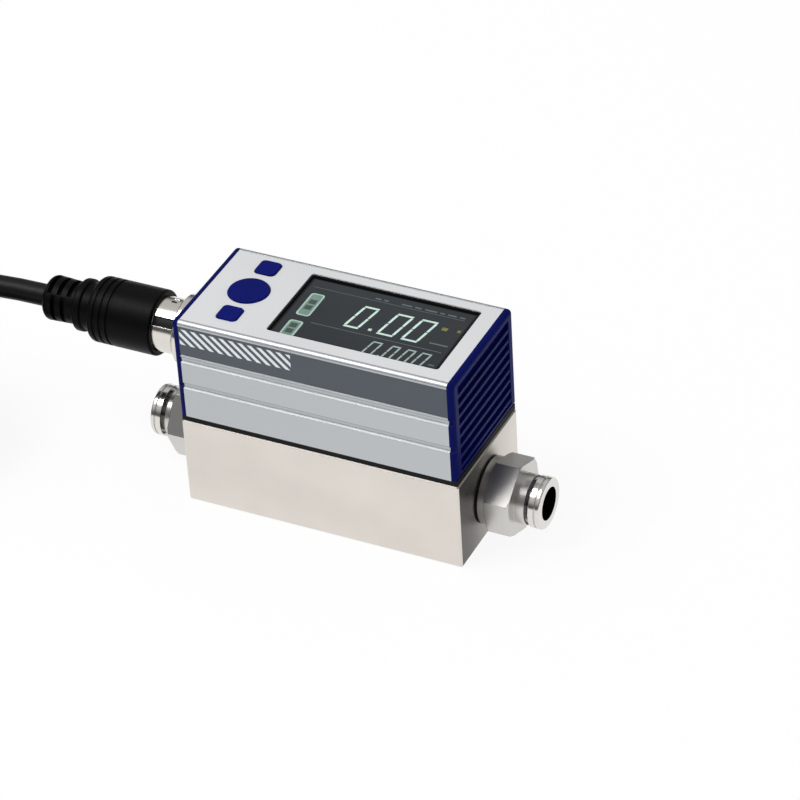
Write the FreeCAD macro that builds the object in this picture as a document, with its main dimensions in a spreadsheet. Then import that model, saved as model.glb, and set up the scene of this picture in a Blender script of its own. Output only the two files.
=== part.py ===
"""Gas flow meter: a stainless flow block with push-in tube fittings at both ends, a sealed thermal
sensor and laminar element inside, an extruded aluminium housing with blue end caps on top, a display
with three keys, and a round signal connector with its cable.

Millimetres. The origin is the centre of the block's base, +X runs along the gas flow, +Z is up.
"""
import FreeCAD
import Part
import Sketcher
import math
import os

from FreeCAD import Placement, Rotation, Vector

# Driving sizes in millimetres (angles in degrees). Each one becomes a named cell of the sheet.
SIZES = {
    # flow block
    "block_length": 72.0,
    "block_width": 33.0,
    "block_height": 23.6,
    "block_edge": 0.4,
    "flow_height": 11.5,
    "port_radius": 6.55,
    "port_depth": 11.0,
    "bore_radius": 5.0,
    "shoulder_reach": 14.0,
    "outlet_bore_radius": 4.2,
    "tap_spacing": 20.0,
    "tap_radius": 1.0,
    "base_hole_spacing_x": 56.0,
    "base_hole_spacing_y": 22.0,
    "base_hole_radius": 1.65,
    "base_hole_depth": 8.0,
    # laminar element, screens and the sleeve that holds them
    "fit_gap": 0.05,
    "screen_thickness": 0.6,
    "screen_slot": 0.7,
    "screen_pitch": 1.5,
    "screen_field": 3.4,
    "element_channel_radius": 0.9,
    "element_channel_circle": 2.9,
    "element_groove_radius": 3.4,
    "element_groove_width": 3.0,
    "sleeve_wall": 0.8,
    "sleeve_proud": 0.2,
    # sensor on top of the block
    "manifold_length": 32.0,
    "manifold_width": 12.0,
    "manifold_height": 4.5,
    "manifold_channel_radius": 0.8,
    "manifold_channel_height": 3.0,
    "sensor_board_thickness": 1.0,
    "sensor_seal_radius": 1.95,
    "sensor_seal_section": 0.55,
    "sensor_screw_spacing": 27.0,
    "sensor_screw_radius": 0.95,
    "sensor_screw_depth": 3.0,
    "sensor_screw_head_radius": 1.7,
    "sensor_screw_head": 1.1,
    "sensor_link_height": 2.1,
    "sensor_link_length": 10.0,
    "sensor_link_width": 2.5,
    # gasket between block and housing
    "gasket_thickness": 1.6,
    "gasket_inset": 0.25,
    "gasket_window_gap": 0.6,
    # extruded housing
    "housing_width": 33.2,
    "housing_height": 27.2,
    "side_wall": 2.0,
    "roof_wall": 2.0,
    "floor_wall": 2.0,
    "corner_radius": 1.1,
    "lower_groove_bottom": 8.1,
    "upper_groove_bottom": 15.6,
    "groove_width": 1.7,
    "groove_depth": 0.5,
    "groove_slope": 0.3,
    "band_bottom": 17.9,
    "band_top_margin": 1.2,
    "band_recess": 0.35,
    "label_side_margin": 1.3,
    "label_recess": 0.3,
    "label_thickness": 0.25,
    "label_end_gap": 0.05,
    "rail_depth": 0.9,
    "rail_thickness": 0.8,
    "rail_gap": 0.1,
    "housing_screw_spacing_x": 42.0,
    "housing_screw_spacing_y": 21.0,
    "screw_radius": 1.45,
    "screw_hole_radius": 1.5,
    "screw_head_radius": 2.75,
    "screw_head_height": 2.0,
    "screw_socket_radius": 1.2,
    "screw_depth": 5.5,
    # end caps
    "cap_flange": 1.6,
    "cap_plate": 1.0,
    "cap_spigot": 2.4,
    "cap_spigot_wall": 1.2,
    "cap_gap": 0.1,
    "cap_edge": 1.1,
    "panel_side_margin": 2.5,
    "panel_bottom": 1.4,
    "panel_top_margin": 1.8,
    "panel_depth": 1.2,
    "fin_first": 2.25,
    "fin_thickness": 0.8,
    "fin_pitch": 2.83,
    "fin_drop": 0.1,
    "socket_land_radius": 9.6,
    # display
    "display_offset_y": 0.5,
    "window_left_margin": 20.65,
    "window_right_margin": 4.25,
    "window_side_margin": 4.35,
    "window_corner": 0.8,
    "lens_gap": 0.15,
    "lens_drop": 0.7,
    "lens_thickness": 1.0,
    "lining_drop": 0.3,
    "lining_thickness": 0.3,
    "display_seal_thickness": 0.6,
    "display_seal_width": 1.0,
    "module_border_x": 1.5,
    "module_border_y": 0.75,
    "module_thickness": 2.3,
    "module_recess": 0.3,
    "board_thickness": 1.6,
    "board_end_gap": 0.2,
    "board_margin": 0.4,
    "board_link_length": 12.7,
    "board_link_width": 5.0,
    "board_link_x": 14.0,
    "board_link_y": 8.0,
    "chip_length": 10.0,
    "chip_height": 1.2,
    # keys
    "key_inset": 10.05,
    "key_enter_y": 0.62,
    "key_web": 2.15,
    "key_side": 5.4,
    "key_corner": 1.2,
    "key_up_margin": 6.0,
    "key_down_margin": 7.5,
    "key_gap": 0.15,
    "key_lip": 0.5,
    "key_flange": 0.8,
    "key_proud": 0.45,
    "key_edge": 0.3,
    "key_travel": 0.3,
    "key_rest_gap": 0.05,
    "switch_side": 4.5,
    "switch_gap": 0.1,
    "switch_floor": 0.25,
    "plunger_radius": 1.25,
    # push-in fittings
    "stud_radius": 6.5,
    "stud_reach": 10.7,
    "flow_radius": 2.9,
    "tube_radius": 4.1,
    "tube_seat": 2.8,
    "face_seal_thickness": 0.5,
    "face_seal_radius": 8.2,
    "collar_radius": 8.3,
    "collar_thickness": 1.9,
    "hex_across_flats": 17.0,
    "hex_length": 6.4,
    "hex_chamfer": 0.7,
    "nose_radius": 6.05,
    "nose_length": 2.5,
    "cartridge_radius": 5.45,
    "cartridge_start": 2.0,
    "tube_seal_section": 0.62,
    "support_length": 1.7,
    "support_radius": 4.25,
    "claw_thickness": 0.9,
    "claw_tip_radius": 4.2,
    "guide_radius": 4.95,
    "collet_neck_radius": 4.9,
    "collet_gap": 1.1,
    "collet_travel": 1.0,
    "collet_flange_radius": 6.34,
    "collet_flange_length": 2.77,
    "collet_step": 0.35,
    "collet_rim_round": 0.5,
    "claw_clearance": 0.3,
    "hex_turn_outlet": -20.0,
    "hex_turn_inlet": 5.0,
    # signal socket in the left cap; reaches are measured outwards from the cap's face
    "socket_height": 12.4,
    "socket_barrel_radius": 8.6,
    "socket_reach": 5.9,
    "socket_neck_radius": 7.4,
    "socket_tail": 8.6,
    "socket_bore_radius": 6.9,
    "socket_nut_radius": 8.8,
    "socket_nut_thickness": 2.0,
    "socket_insert_drop": 2.0,
    "contact_radius": 0.5,
    "contact_hole_radius": 0.6,
    "contact_circle": 3.5,
    "contact_tail": 2.0,
    # plug on the cable
    "plug_shell_radius": 6.8,
    "plug_shell_wall": 0.6,
    "plug_shell_start": 1.0,
    "plug_face": 12.0,
    "plug_shell_bury": 4.0,
    "plug_insert_start": 2.5,
    "plug_slot_width": 2.4,
    "plug_window": 1.5,
    "plug_window_height": 3.6,
    "plug_window_start": 8.0,
    "pin_reach": 6.0,
    "plug_radius": 8.1,
    "plug_barrel_length": 17.4,
    "plug_ring_first": 11.2,
    "plug_ring_pitch": 1.8,
    "plug_ring_width": 0.7,
    "plug_ring_depth": 0.35,
    "plug_edge": 0.6,
    "plug_shoulder_round": 1.3,
    "neck_radius": 5.9,
    "neck_length": 2.6,
    "bead_radius": 6.5,
    "bead_length": 2.0,
    "bead_round": 0.5,
    "relief_radius": 5.2,
    "relief_end_radius": 5.6,
    "relief_length": 9.0,
    "relief_round": 1.4,
    "relief_slot_width": 1.1,
    "relief_slot_pitch": 2.6,
    "relief_slot_core": 3.9,
    # cable
    "cable_radius": 2.75,
    "hank_run": 53.0,
    "hank_fold_radius": 16.5,
    "hank_height": 33.0,
    "tie_width": 10.0,
    "tie_thickness": 0.4,
    "tie_shift": 10.0,
    "tail_offset": 11.1,
    "tail_start": 18.0,
    "tail_length": 18.0,
    "core_radius": 0.6,
    "core_circle": 1.5,
    "core_length": 30.0,
}

CONTACT_COUNT = 6
RELIEF_SLOTS = 3
SCREEN_SLOTS = 5
CHANNEL_COUNT = 6
CORE_COUNT = 5
PLUG_SLOT_TURN = -50.3
SPLIT_TOLERANCE = 0.02

# The cable's free run, from the strain relief onto the top of the hank beside the gas inlet.
CABLE_ROUTE = (
    (-107.0, 0.0, 37.6),
    (-127.0, -7.5, 30.65),
    (-147.0, -7.5, 30.65),
)
HANK_CENTRE = (-134.0, -24.0)

doc = FreeCAD.newDocument("GasFlowMeter")
sheet = doc.addObject("Spreadsheet::Sheet", "Dims")
for row, (alias, size) in enumerate(SIZES.items(), start=1):
    sheet.set(f"A{row}", alias)
    sheet.set(f"B{row}", str(size))
    sheet.setAlias(f"B{row}", alias)
probe = doc.addObject("App::FeaturePython", "Probe")
doc.recompute()

# Places that many pieces share, as expressions of the cells.
BLOCK_HALF = "(Dims.block_length / 2)"
HOUSING_HALF = "(Dims.block_length / 2 - Dims.cap_flange)"
HOUSING_Z = "(Dims.block_height + Dims.gasket_thickness)"
FLOOR_Z = f"({HOUSING_Z} + Dims.floor_wall)"
LABEL_Z = f"({HOUSING_Z} + Dims.housing_height - Dims.label_recess)"
LABEL_TOP_Z = f"({LABEL_Z} + Dims.label_thickness)"
ROOF_UNDER_Z = f"({LABEL_Z} - Dims.roof_wall)"
CAVITY_HALF = "(Dims.housing_width / 2 - Dims.side_wall)"
LENS_Z = f"({LABEL_TOP_Z} - Dims.lens_drop - Dims.lens_thickness)"
MODULE_TOP_Z = f"({LENS_Z} - Dims.display_seal_thickness)"
FRONT_BOARD_TOP_Z = f"({MODULE_TOP_Z} - Dims.module_thickness)"
FRONT_BOARD_Z = f"({FRONT_BOARD_TOP_Z} - Dims.board_thickness)"
SENSOR_BOARD_Z = "(Dims.block_height + Dims.manifold_height)"
SENSOR_LINK_Z = f"({SENSOR_BOARD_Z} + Dims.sensor_board_thickness)"
MAIN_BOARD_Z = f"({SENSOR_LINK_Z} + Dims.sensor_link_height)"
WINDOW_X = f"({HOUSING_HALF} - (Dims.window_left_margin + Dims.window_right_margin) / 2)"
WINDOW_Y = "(Dims.housing_width / 2 - Dims.window_side_margin)"
DISPLAY_X = f"({HOUSING_HALF} - Dims.window_right_margin - {WINDOW_X})"
LABEL_SIDE = "(Dims.housing_width / 2 - Dims.label_side_margin)"
BAND_TOP = "(Dims.housing_height - Dims.band_top_margin)"
KEY_X = f"(Dims.key_inset - {HOUSING_HALF})"
KEY_UP_Y = "(Dims.housing_width / 2 - Dims.key_up_margin)"
KEY_DOWN_Y = "(Dims.housing_width / 2 - Dims.key_down_margin)"
KEY_ENTER_RADIUS = f"(({KEY_UP_Y} + {KEY_DOWN_Y} - Dims.key_side) / 2 - Dims.key_web)"
SOCKET_Z = f"({HOUSING_Z} + Dims.socket_height)"
BOARD_RIGHT = f"({HOUSING_HALF} - Dims.cap_spigot - Dims.board_end_gap)"
RELIEF_END = ("(Dims.plug_face + Dims.plug_barrel_length + Dims.neck_length + Dims.bead_length"
              " + Dims.relief_length)")


def number(expression):
    """Value that an expression of the sheet's cells has now."""
    return float(probe.evalExpression(expression))


def bind(feature, **expressions):
    """Bind properties to expressions; a double underscore in a name stands for a dot."""
    for name, expression in expressions.items():
        feature.setExpression(name.replace("__", "."), expression)


def place(feature, x="0", y="0", z="0", turn=None):
    """Put a piece at bound coordinates, with an optional fixed turn."""
    if turn is not None:
        feature.Placement = Placement(Vector(), turn)
    bind(feature, Placement__Base__x=x, Placement__Base__y=y, Placement__Base__z=z)


def named(feature, label):
    """Give a finished piece its node name and list it for export."""
    feature.Label = label
    nodes.append(feature)
    return feature


nodes = []
FLIP = Rotation(Vector(0, 0, 1), 180)
ALONG_X = Rotation(Vector(0, 1, 0), 90)
ALONG_Y = Rotation(Vector(1, 0, 0), -90)


def new_body(name):
    """A PartDesign body."""
    return doc.addObject("PartDesign::Body", name)


def origin_feature(body, role):
    """One of a body's own origin planes or axes."""
    return next(item for item in body.Origin.OriginFeatures if item.Role == role)


def sketch_on(body, role, offset="0"):
    """A sketch on one of the body's origin planes, moved along the plane's normal."""
    sketch = body.newObject("Sketcher::SketchObject", f"{body.Name}Sketch")
    sketch.AttachmentSupport = [(origin_feature(body, role), "")]
    sketch.MapMode = "FlatFace"
    bind(sketch, AttachmentOffset__Base__z=offset)
    return sketch


def pin_point(sketch, geometry, point, x, y):
    """Bind both coordinates of one point of the sketch's geometry."""
    for kind, expression in (("DistanceX", x), ("DistanceY", y)):
        row = sketch.addConstraint(
            Sketcher.Constraint(kind, -1, 1, geometry, point, number(expression)))
        sketch.setExpression(f"Constraints[{row}]", expression)


def draw_outline(sketch, corners):
    """A closed outline of straight edges through corners given as pairs of expressions."""
    points = [Vector(number(x), number(y), 0) for x, y in corners]
    first = sketch.GeometryCount
    count = len(points)
    for index, point in enumerate(points):
        sketch.addGeometry(Part.LineSegment(point, points[(index + 1) % count]), False)
    for index, (x, y) in enumerate(corners):
        following = first + (index + 1) % count
        sketch.addConstraint(Sketcher.Constraint("Coincident", first + index, 2, following, 1))
        pin_point(sketch, first + index, 1, x, y)


def draw_rectangle(sketch, x0, y0, x1, y1):
    """A rectangle between two opposite corners."""
    draw_outline(sketch, [(x0, y0), (x1, y0), (x1, y1), (x0, y1)])


def draw_circle(sketch, x, y, radius):
    """A circle with bound centre and radius."""
    geometry = sketch.addGeometry(
        Part.Circle(Vector(number(x), number(y), 0), Vector(0, 0, 1), number(radius)), False)
    pin_point(sketch, geometry, 3, x, y)
    row = sketch.addConstraint(Sketcher.Constraint("Radius", geometry, number(radius)))
    sketch.setExpression(f"Constraints[{row}]", radius)


def draw_rounded(sketch, x, y, half_x, half_y, radius):
    """A rectangle with round corners about a bound centre."""
    sides = ((1, 1), (-1, 1), (-1, -1), (1, -1))
    for quarter, (sx, sy) in enumerate(sides):
        centre = Vector(number(x) + sx * (number(half_x) - number(radius)),
                        number(y) + sy * (number(half_y) - number(radius)), 0)
        circle = Part.Circle(centre, Vector(0, 0, 1), number(radius))
        start = quarter * math.pi / 2
        arc = sketch.addGeometry(Part.ArcOfCircle(circle, start, start + math.pi / 2), False)
        pin_point(sketch, arc, 3, f"{x} + {sx} * ({half_x} - {radius})",
                  f"{y} + {sy} * ({half_y} - {radius})")
        row = sketch.addConstraint(Sketcher.Constraint("Radius", arc, number(radius)))
        sketch.setExpression(f"Constraints[{row}]", radius)
    first_arc = sketch.GeometryCount - 4
    for quarter in range(4):
        arc = first_arc + quarter
        following = first_arc + (quarter + 1) % 4
        shape_end = sketch.Geometry[arc].EndPoint
        shape_start = sketch.Geometry[following].StartPoint
        line = sketch.addGeometry(Part.LineSegment(shape_end, shape_start), False)
        sketch.addConstraint(Sketcher.Constraint("Tangent", arc, 2, line, 1))
        sketch.addConstraint(Sketcher.Constraint("Tangent", line, 2, following, 1))


def settled(feature):
    """Recompute and stop with the feature's name when it could not be made."""
    doc.recompute()
    if "Invalid" in feature.State or "Error" in feature.State:
        raise RuntimeError(f"{feature.Name} failed: {feature.getStatusString()}")
    return feature


def pad(body, sketch, length, reverse=False):
    """Add a prism on a sketch."""
    feature = body.newObject("PartDesign::Pad", f"{body.Name}Pad")
    feature.Profile = sketch
    feature.Reversed = reverse
    bind(feature, Length=length)
    return settled(feature)


def pocket(body, sketch, length=None, reverse=False):
    """Cut a prism on a sketch, right through when no length is given; it must remove material."""
    before = body.Shape.Volume
    feature = body.newObject("PartDesign::Pocket", f"{body.Name}Pocket")
    feature.Profile = sketch
    feature.Reversed = reverse
    if length is None:
        feature.Type = "ThroughAll"
    else:
        bind(feature, Length=length)
    settled(feature)
    if not body.Shape.Volume < before:
        raise RuntimeError(f"a pocket of {body.Name} cuts nothing")
    return feature


def revolve(body, sketch):
    """Turn a sketch about its own horizontal axis."""
    feature = body.newObject("PartDesign::Revolution", f"{body.Name}Revolution")
    feature.Profile = sketch
    feature.ReferenceAxis = (sketch, ["H_Axis"])
    feature.Angle = 360
    return settled(feature)


def pattern(body, kind, feature, role, count, length=None):
    """Repeat a feature along or about one of the body's axes."""
    copies = body.newObject(f"PartDesign::{kind}", f"{body.Name}{kind}")
    copies.Originals = [feature]
    copies.Occurrences = count
    if kind == "PolarPattern":
        copies.Axis = (origin_feature(body, role), [""])
        copies.Angle = 360
    else:
        copies.Direction = (origin_feature(body, role), [""])
        bind(copies, Length=length)
    body.Tip = copies
    return settled(copies)


def dress(body, kind, pick, size):
    """Round or bevel the edges of the body's tip that a test picks."""
    shape = body.Tip.Shape
    edges = [f"Edge{index}" for index, edge in enumerate(shape.Edges, start=1) if pick(edge)]
    if not edges:
        raise RuntimeError(f"{body.Name} has no such edge for its {kind.lower()}")
    base = body.Tip
    feature = body.newObject(f"PartDesign::{kind}", f"{body.Name}{kind}")
    feature.Base = (base, edges)
    bind(feature, **{"Radius" if kind == "Fillet" else "Size": size})
    body.Tip = feature
    return settled(feature)


def edge_along_x(edge, y, z):
    """True for a straight edge along X through the given Y and Z."""
    box = edge.BoundBox
    flat = box.YLength < SPLIT_TOLERANCE and box.ZLength < SPLIT_TOLERANCE
    return flat and abs(box.YMin - y) < SPLIT_TOLERANCE and abs(box.ZMin - z) < SPLIT_TOLERANCE


def ring_edge(edge, x, radius):
    """True for a circular edge about X at the given place and radius."""
    box = edge.BoundBox
    return (box.XLength < SPLIT_TOLERANCE and abs(box.XMin - x) < SPLIT_TOLERANCE
            and abs(box.ZMax - radius) < SPLIT_TOLERANCE and abs(box.YMax - radius) < SPLIT_TOLERANCE)


def turned(name, profile):
    """A body turned about its own X axis from a profile of places and radii."""
    body = new_body(name)
    sketch = sketch_on(body, "XZ_Plane")
    draw_outline(sketch, profile)
    revolve(body, sketch)
    return body


def box(name, corner, size):
    """A block from its low corner and its size."""
    feature = doc.addObject("Part::Box", name)
    bind(feature, Length=size[0], Width=size[1], Height=size[2])
    place(feature, *corner)
    return feature


def rod(name, radius, length, start, turn=None):
    """A round bar that starts at a point and runs along +Z, or along another axis when turned."""
    feature = doc.addObject("Part::Cylinder", name)
    bind(feature, Radius=radius, Height=length)
    place(feature, *start, turn=turn)
    return feature


def o_ring(name, radius, section, centre, turn=None):
    """A seal ring about Z, or about another axis when turned."""
    feature = doc.addObject("Part::Torus", name)
    bind(feature, Radius1=radius, Radius2=section)
    place(feature, *centre, turn=turn)
    return feature


def cut(name, base, tools):
    """A base with tools taken out of it."""
    tool = tools[0]
    if len(tools) > 1:
        tool = doc.addObject("Part::MultiFuse", f"{name}Tools")
        tool.Shapes = tools
    feature = doc.addObject("Part::Cut", name)
    feature.Base = base
    feature.Tool = tool
    return feature


def fuse(name, shapes):
    """Shapes joined in one solid."""
    feature = doc.addObject("Part::MultiFuse", name)
    feature.Shapes = shapes
    return feature


def group(name, shapes):
    """Like pieces kept as separate solids of one node."""
    feature = doc.addObject("Part::Compound", name)
    feature.Links = shapes
    return feature


def corners_of(spacing_x, spacing_y):
    """The four places of a rectangular hole pattern, as expressions."""
    return [(f"({sx} * {spacing_x} / 2)", f"({sy} * {spacing_y} / 2)")
            for sx in (-1, 1) for sy in (-1, 1)]


def make_flow_block():
    """Stainless block with two ports, the stepped main bore, taps and threaded holes."""
    body = new_body("FlowBlock")
    outline = sketch_on(body, "XY_Plane")
    draw_rectangle(outline, f"-{BLOCK_HALF}", "-Dims.block_width / 2", BLOCK_HALF,
                   "Dims.block_width / 2")
    pad(body, outline, "Dims.block_height")
    dress(body, "Chamfer", lambda edge: True, "Dims.block_edge")
    for offset, reverse in ((BLOCK_HALF, False), (f"-{BLOCK_HALF}", True)):
        port = sketch_on(body, "YZ_Plane", offset)
        draw_circle(port, "0", "Dims.flow_height", "Dims.port_radius")
        pocket(body, port, "Dims.port_depth", reverse)
    bore = sketch_on(body, "YZ_Plane", f"-{BLOCK_HALF}")
    draw_circle(bore, "0", "Dims.flow_height", "Dims.bore_radius")
    pocket(body, bore, f"{BLOCK_HALF} + Dims.shoulder_reach", True)
    outlet = sketch_on(body, "YZ_Plane", BLOCK_HALF)
    draw_circle(outlet, "0", "Dims.flow_height", "Dims.outlet_bore_radius")
    pocket(body, outlet, BLOCK_HALF)
    base_holes = sketch_on(body, "XY_Plane")
    for x, y in corners_of("Dims.base_hole_spacing_x", "Dims.base_hole_spacing_y"):
        draw_circle(base_holes, x, y, "Dims.base_hole_radius")
    pocket(body, base_holes, "Dims.base_hole_depth", True)
    screw_holes = sketch_on(body, "XY_Plane", "Dims.block_height")
    for x, y in corners_of("Dims.housing_screw_spacing_x", "Dims.housing_screw_spacing_y"):
        draw_circle(screw_holes, x, y, "Dims.screw_hole_radius")
    pocket(body, screw_holes, "Dims.screw_depth + Dims.fit_gap")
    taps = sketch_on(body, "XY_Plane", "Dims.block_height")
    for side in (-1, 1):
        draw_circle(taps, f"{side} * Dims.tap_spacing / 2", "0", "Dims.tap_radius")
    pocket(body, taps, "Dims.block_height - Dims.flow_height")
    sensor_holes = sketch_on(body, "XY_Plane", "Dims.block_height")
    for side in (-1, 1):
        draw_circle(sensor_holes, f"{side} * Dims.sensor_screw_spacing / 2", "0",
                    "Dims.sensor_screw_radius + Dims.fit_gap")
    pocket(body, sensor_holes, "Dims.sensor_screw_depth + Dims.fit_gap")
    return named(body, "flow_block")


def make_laminar_element():
    """Turned plug with ring grooves under the taps and through channels."""
    radius = "(Dims.bore_radius - Dims.fit_gap)"
    reach = "(Dims.shoulder_reach - Dims.screen_thickness)"
    groove = "Dims.element_groove_radius"
    low = "(Dims.tap_spacing / 2 - Dims.element_groove_width / 2)"
    high = "(Dims.tap_spacing / 2 + Dims.element_groove_width / 2)"
    half = [(low, radius), (low, groove), (high, groove), (high, radius), (reach, radius)]
    mirrored = [(f"-{x}", r) for x, r in reversed(half)]
    body = turned("LaminarElement", mirrored + half + [(reach, "0"), (f"-{reach}", "0")])
    channel = sketch_on(body, "YZ_Plane", f"-{reach}")
    draw_circle(channel, "Dims.element_channel_circle", "0", "Dims.element_channel_radius")
    pattern(body, "PolarPattern", pocket(body, channel, None, True), "X_Axis", CHANNEL_COUNT)
    place(body, z="Dims.flow_height")
    named(body, "laminar_element")


def make_screen(label, start):
    """Slotted disc ahead of or behind the laminar element."""
    body = new_body(label.title().replace("_", ""))
    disc = sketch_on(body, "YZ_Plane")
    draw_circle(disc, "0", "0", "(Dims.bore_radius - Dims.fit_gap)")
    pad(body, disc, "Dims.screen_thickness")
    slots = sketch_on(body, "YZ_Plane")
    for index in range(SCREEN_SLOTS):
        middle = f"({index - SCREEN_SLOTS // 2} * Dims.screen_pitch)"
        reach = f"sqrt(Dims.screen_field ^ 2 - {middle} ^ 2)"
        draw_rectangle(slots, f"-{reach}", f"{middle} - Dims.screen_slot / 2", reach,
                       f"{middle} + Dims.screen_slot / 2")
    pocket(body, slots, None, True)
    place(body, x=start, z="Dims.flow_height")
    named(body, label)


def make_retaining_sleeve():
    """Tube between the inlet fitting's stud and the first screen."""
    outer = "(Dims.bore_radius - Dims.fit_gap)"
    inner = f"({outer} - Dims.sleeve_wall)"
    start = "-(Dims.block_length / 2 - Dims.port_depth + Dims.sleeve_proud)"
    end = "-Dims.shoulder_reach"
    body = turned("RetainingSleeve", [(start, inner), (end, inner), (end, outer), (start, outer)])
    place(body, z="Dims.flow_height")
    named(body, "retaining_sleeve")


def make_sensor():
    """Bypass manifold with its seals, board, screws and the pin strip to the main board."""
    half_length = "Dims.manifold_length / 2"
    half_width = "Dims.manifold_width / 2"
    seal_seat = "(Dims.sensor_seal_radius + Dims.sensor_seal_section + Dims.fit_gap)"
    seat_depth = "(2 * Dims.sensor_seal_section + Dims.fit_gap)"
    body = new_body("SensorManifold")
    outline = sketch_on(body, "XY_Plane")
    draw_rectangle(outline, f"-{half_length}", f"-{half_width}", half_length, half_width)
    pad(body, outline, "Dims.manifold_height")
    seats = sketch_on(body, "XY_Plane")
    risers = sketch_on(body, "XY_Plane")
    screws = sketch_on(body, "XY_Plane")
    for side in (-1, 1):
        draw_circle(seats, f"{side} * Dims.tap_spacing / 2", "0", seal_seat)
        draw_circle(risers, f"{side} * Dims.tap_spacing / 2", "0", "Dims.manifold_channel_radius")
        draw_circle(screws, f"{side} * Dims.sensor_screw_spacing / 2", "0",
                    "Dims.sensor_screw_radius + Dims.fit_gap")
    pocket(body, seats, seat_depth, True)
    pocket(body, risers, "Dims.manifold_channel_height", True)
    pocket(body, screws, None, True)
    channel = sketch_on(body, "YZ_Plane", "-Dims.tap_spacing / 2")
    draw_circle(channel, "0", "Dims.manifold_channel_height", "Dims.manifold_channel_radius")
    pocket(body, channel, "Dims.tap_spacing", True)
    place(body, z="Dims.block_height")
    named(body, "sensor_manifold")

    seal_z = "Dims.block_height + Dims.sensor_seal_section + Dims.fit_gap / 2"
    seals = [o_ring(f"SensorSeal{side + 1}", "Dims.sensor_seal_radius", "Dims.sensor_seal_section",
                    (f"{side} * Dims.tap_spacing / 2", "0", seal_z)) for side in (-1, 1)]
    named(group("SensorSeals", seals), "sensor_seals")

    board = new_body("SensorBoard")
    card = sketch_on(board, "XY_Plane")
    draw_rectangle(card, f"-{half_length}", f"-{half_width}", half_length, half_width)
    for side in (-1, 1):
        draw_circle(card, f"{side} * Dims.sensor_screw_spacing / 2", "0",
                    "Dims.sensor_screw_radius + Dims.fit_gap")
    pad(board, card, "Dims.sensor_board_thickness")
    place(board, z=SENSOR_BOARD_Z)
    named(board, "sensor_board")

    screw_set = []
    for side in (-1, 1):
        x = f"{side} * Dims.sensor_screw_spacing / 2"
        shank = rod(f"SensorScrewShank{side + 1}", "Dims.sensor_screw_radius",
                    "Dims.sensor_screw_depth + Dims.manifold_height + Dims.sensor_board_thickness",
                    (x, "0", "Dims.block_height - Dims.sensor_screw_depth"))
        head = rod(f"SensorScrewHead{side + 1}", "Dims.sensor_screw_head_radius",
                   "Dims.sensor_screw_head", (x, "0", SENSOR_LINK_Z))
        screw_set.append(fuse(f"SensorScrew{side + 1}", [shank, head]))
    named(group("SensorScrews", screw_set), "sensor_screws")

    named(box("SensorLink", ("-Dims.sensor_link_length / 2", "-Dims.sensor_link_width / 2",
                             SENSOR_LINK_Z),
              ("Dims.sensor_link_length", "Dims.sensor_link_width", "Dims.sensor_link_height")),
          "sensor_link")


def draw_sensor_window(sketch):
    """Opening round the sensor manifold."""
    reach_x = "(Dims.manifold_length / 2 + Dims.gasket_window_gap)"
    reach_y = "(Dims.manifold_width / 2 + Dims.gasket_window_gap)"
    draw_rectangle(sketch, f"-{reach_x}", f"-{reach_y}", reach_x, reach_y)


def draw_housing_holes(sketch):
    """Clearance holes for the housing screws."""
    for x, y in corners_of("Dims.housing_screw_spacing_x", "Dims.housing_screw_spacing_y"):
        draw_circle(sketch, x, y, "Dims.screw_hole_radius")


def make_base_gasket():
    """Flat seal with openings for the sensor and the screws."""
    body = new_body("BaseGasket")
    sketch = sketch_on(body, "XY_Plane")
    reach_x = f"({BLOCK_HALF} - Dims.gasket_inset)"
    reach_y = "(Dims.block_width / 2 - Dims.gasket_inset)"
    draw_rectangle(sketch, f"-{reach_x}", f"-{reach_y}", reach_x, reach_y)
    draw_sensor_window(sketch)
    draw_housing_holes(sketch)
    pad(body, sketch, "Dims.gasket_thickness")
    place(body, z="Dims.block_height")
    named(body, "base_gasket")


def both_sides(half):
    """A closed outline from the points of its right half, listed from the bottom up."""
    return half + [(f"-{y}", z) for y, z in reversed(half)]


def groove_points(bottom):
    """One side groove of the extrusion, from the bottom up."""
    wall = "(Dims.housing_width / 2)"
    floor = f"({wall} - Dims.groove_depth)"
    return [
        (wall, bottom),
        (floor, f"({bottom} + Dims.groove_slope)"),
        (floor, f"({bottom} + Dims.groove_width - Dims.groove_slope)"),
        (wall, f"({bottom} + Dims.groove_width)"),
    ]


def side_points():
    """The extrusion's right side from its base to its top edge: two grooves and the band's recess."""
    wall = "(Dims.housing_width / 2)"
    recess = f"({wall} - Dims.band_recess)"
    grooves = groove_points("Dims.lower_groove_bottom") + groove_points("Dims.upper_groove_bottom")
    return [(wall, "0")] + grooves + [
        (wall, "(Dims.band_bottom - Dims.band_recess)"),
        (recess, "Dims.band_bottom"),
        (recess, BAND_TOP),
        (wall, BAND_TOP),
        (wall, "Dims.housing_height"),
    ]


def lip_points():
    """The narrow lip along the top edge and the step down to the label."""
    return [(LABEL_SIDE, "Dims.housing_height"),
            (LABEL_SIDE, "(Dims.housing_height - Dims.label_recess)")]


def rail_points(board_z):
    """Two ribs that guide a board's edge, from the bottom up."""
    inner = f"({CAVITY_HALF} - Dims.rail_depth)"
    low = f"({board_z} - Dims.rail_gap - {HOUSING_Z})"
    high = f"({board_z} + Dims.board_thickness + Dims.rail_gap - {HOUSING_Z})"
    return [
        (CAVITY_HALF, f"({low} - Dims.rail_thickness)"),
        (inner, f"({low} - Dims.rail_thickness)"),
        (inner, low),
        (CAVITY_HALF, low),
        (CAVITY_HALF, high),
        (inner, high),
        (inner, f"({high} + Dims.rail_thickness)"),
        (CAVITY_HALF, f"({high} + Dims.rail_thickness)"),
    ]


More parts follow.
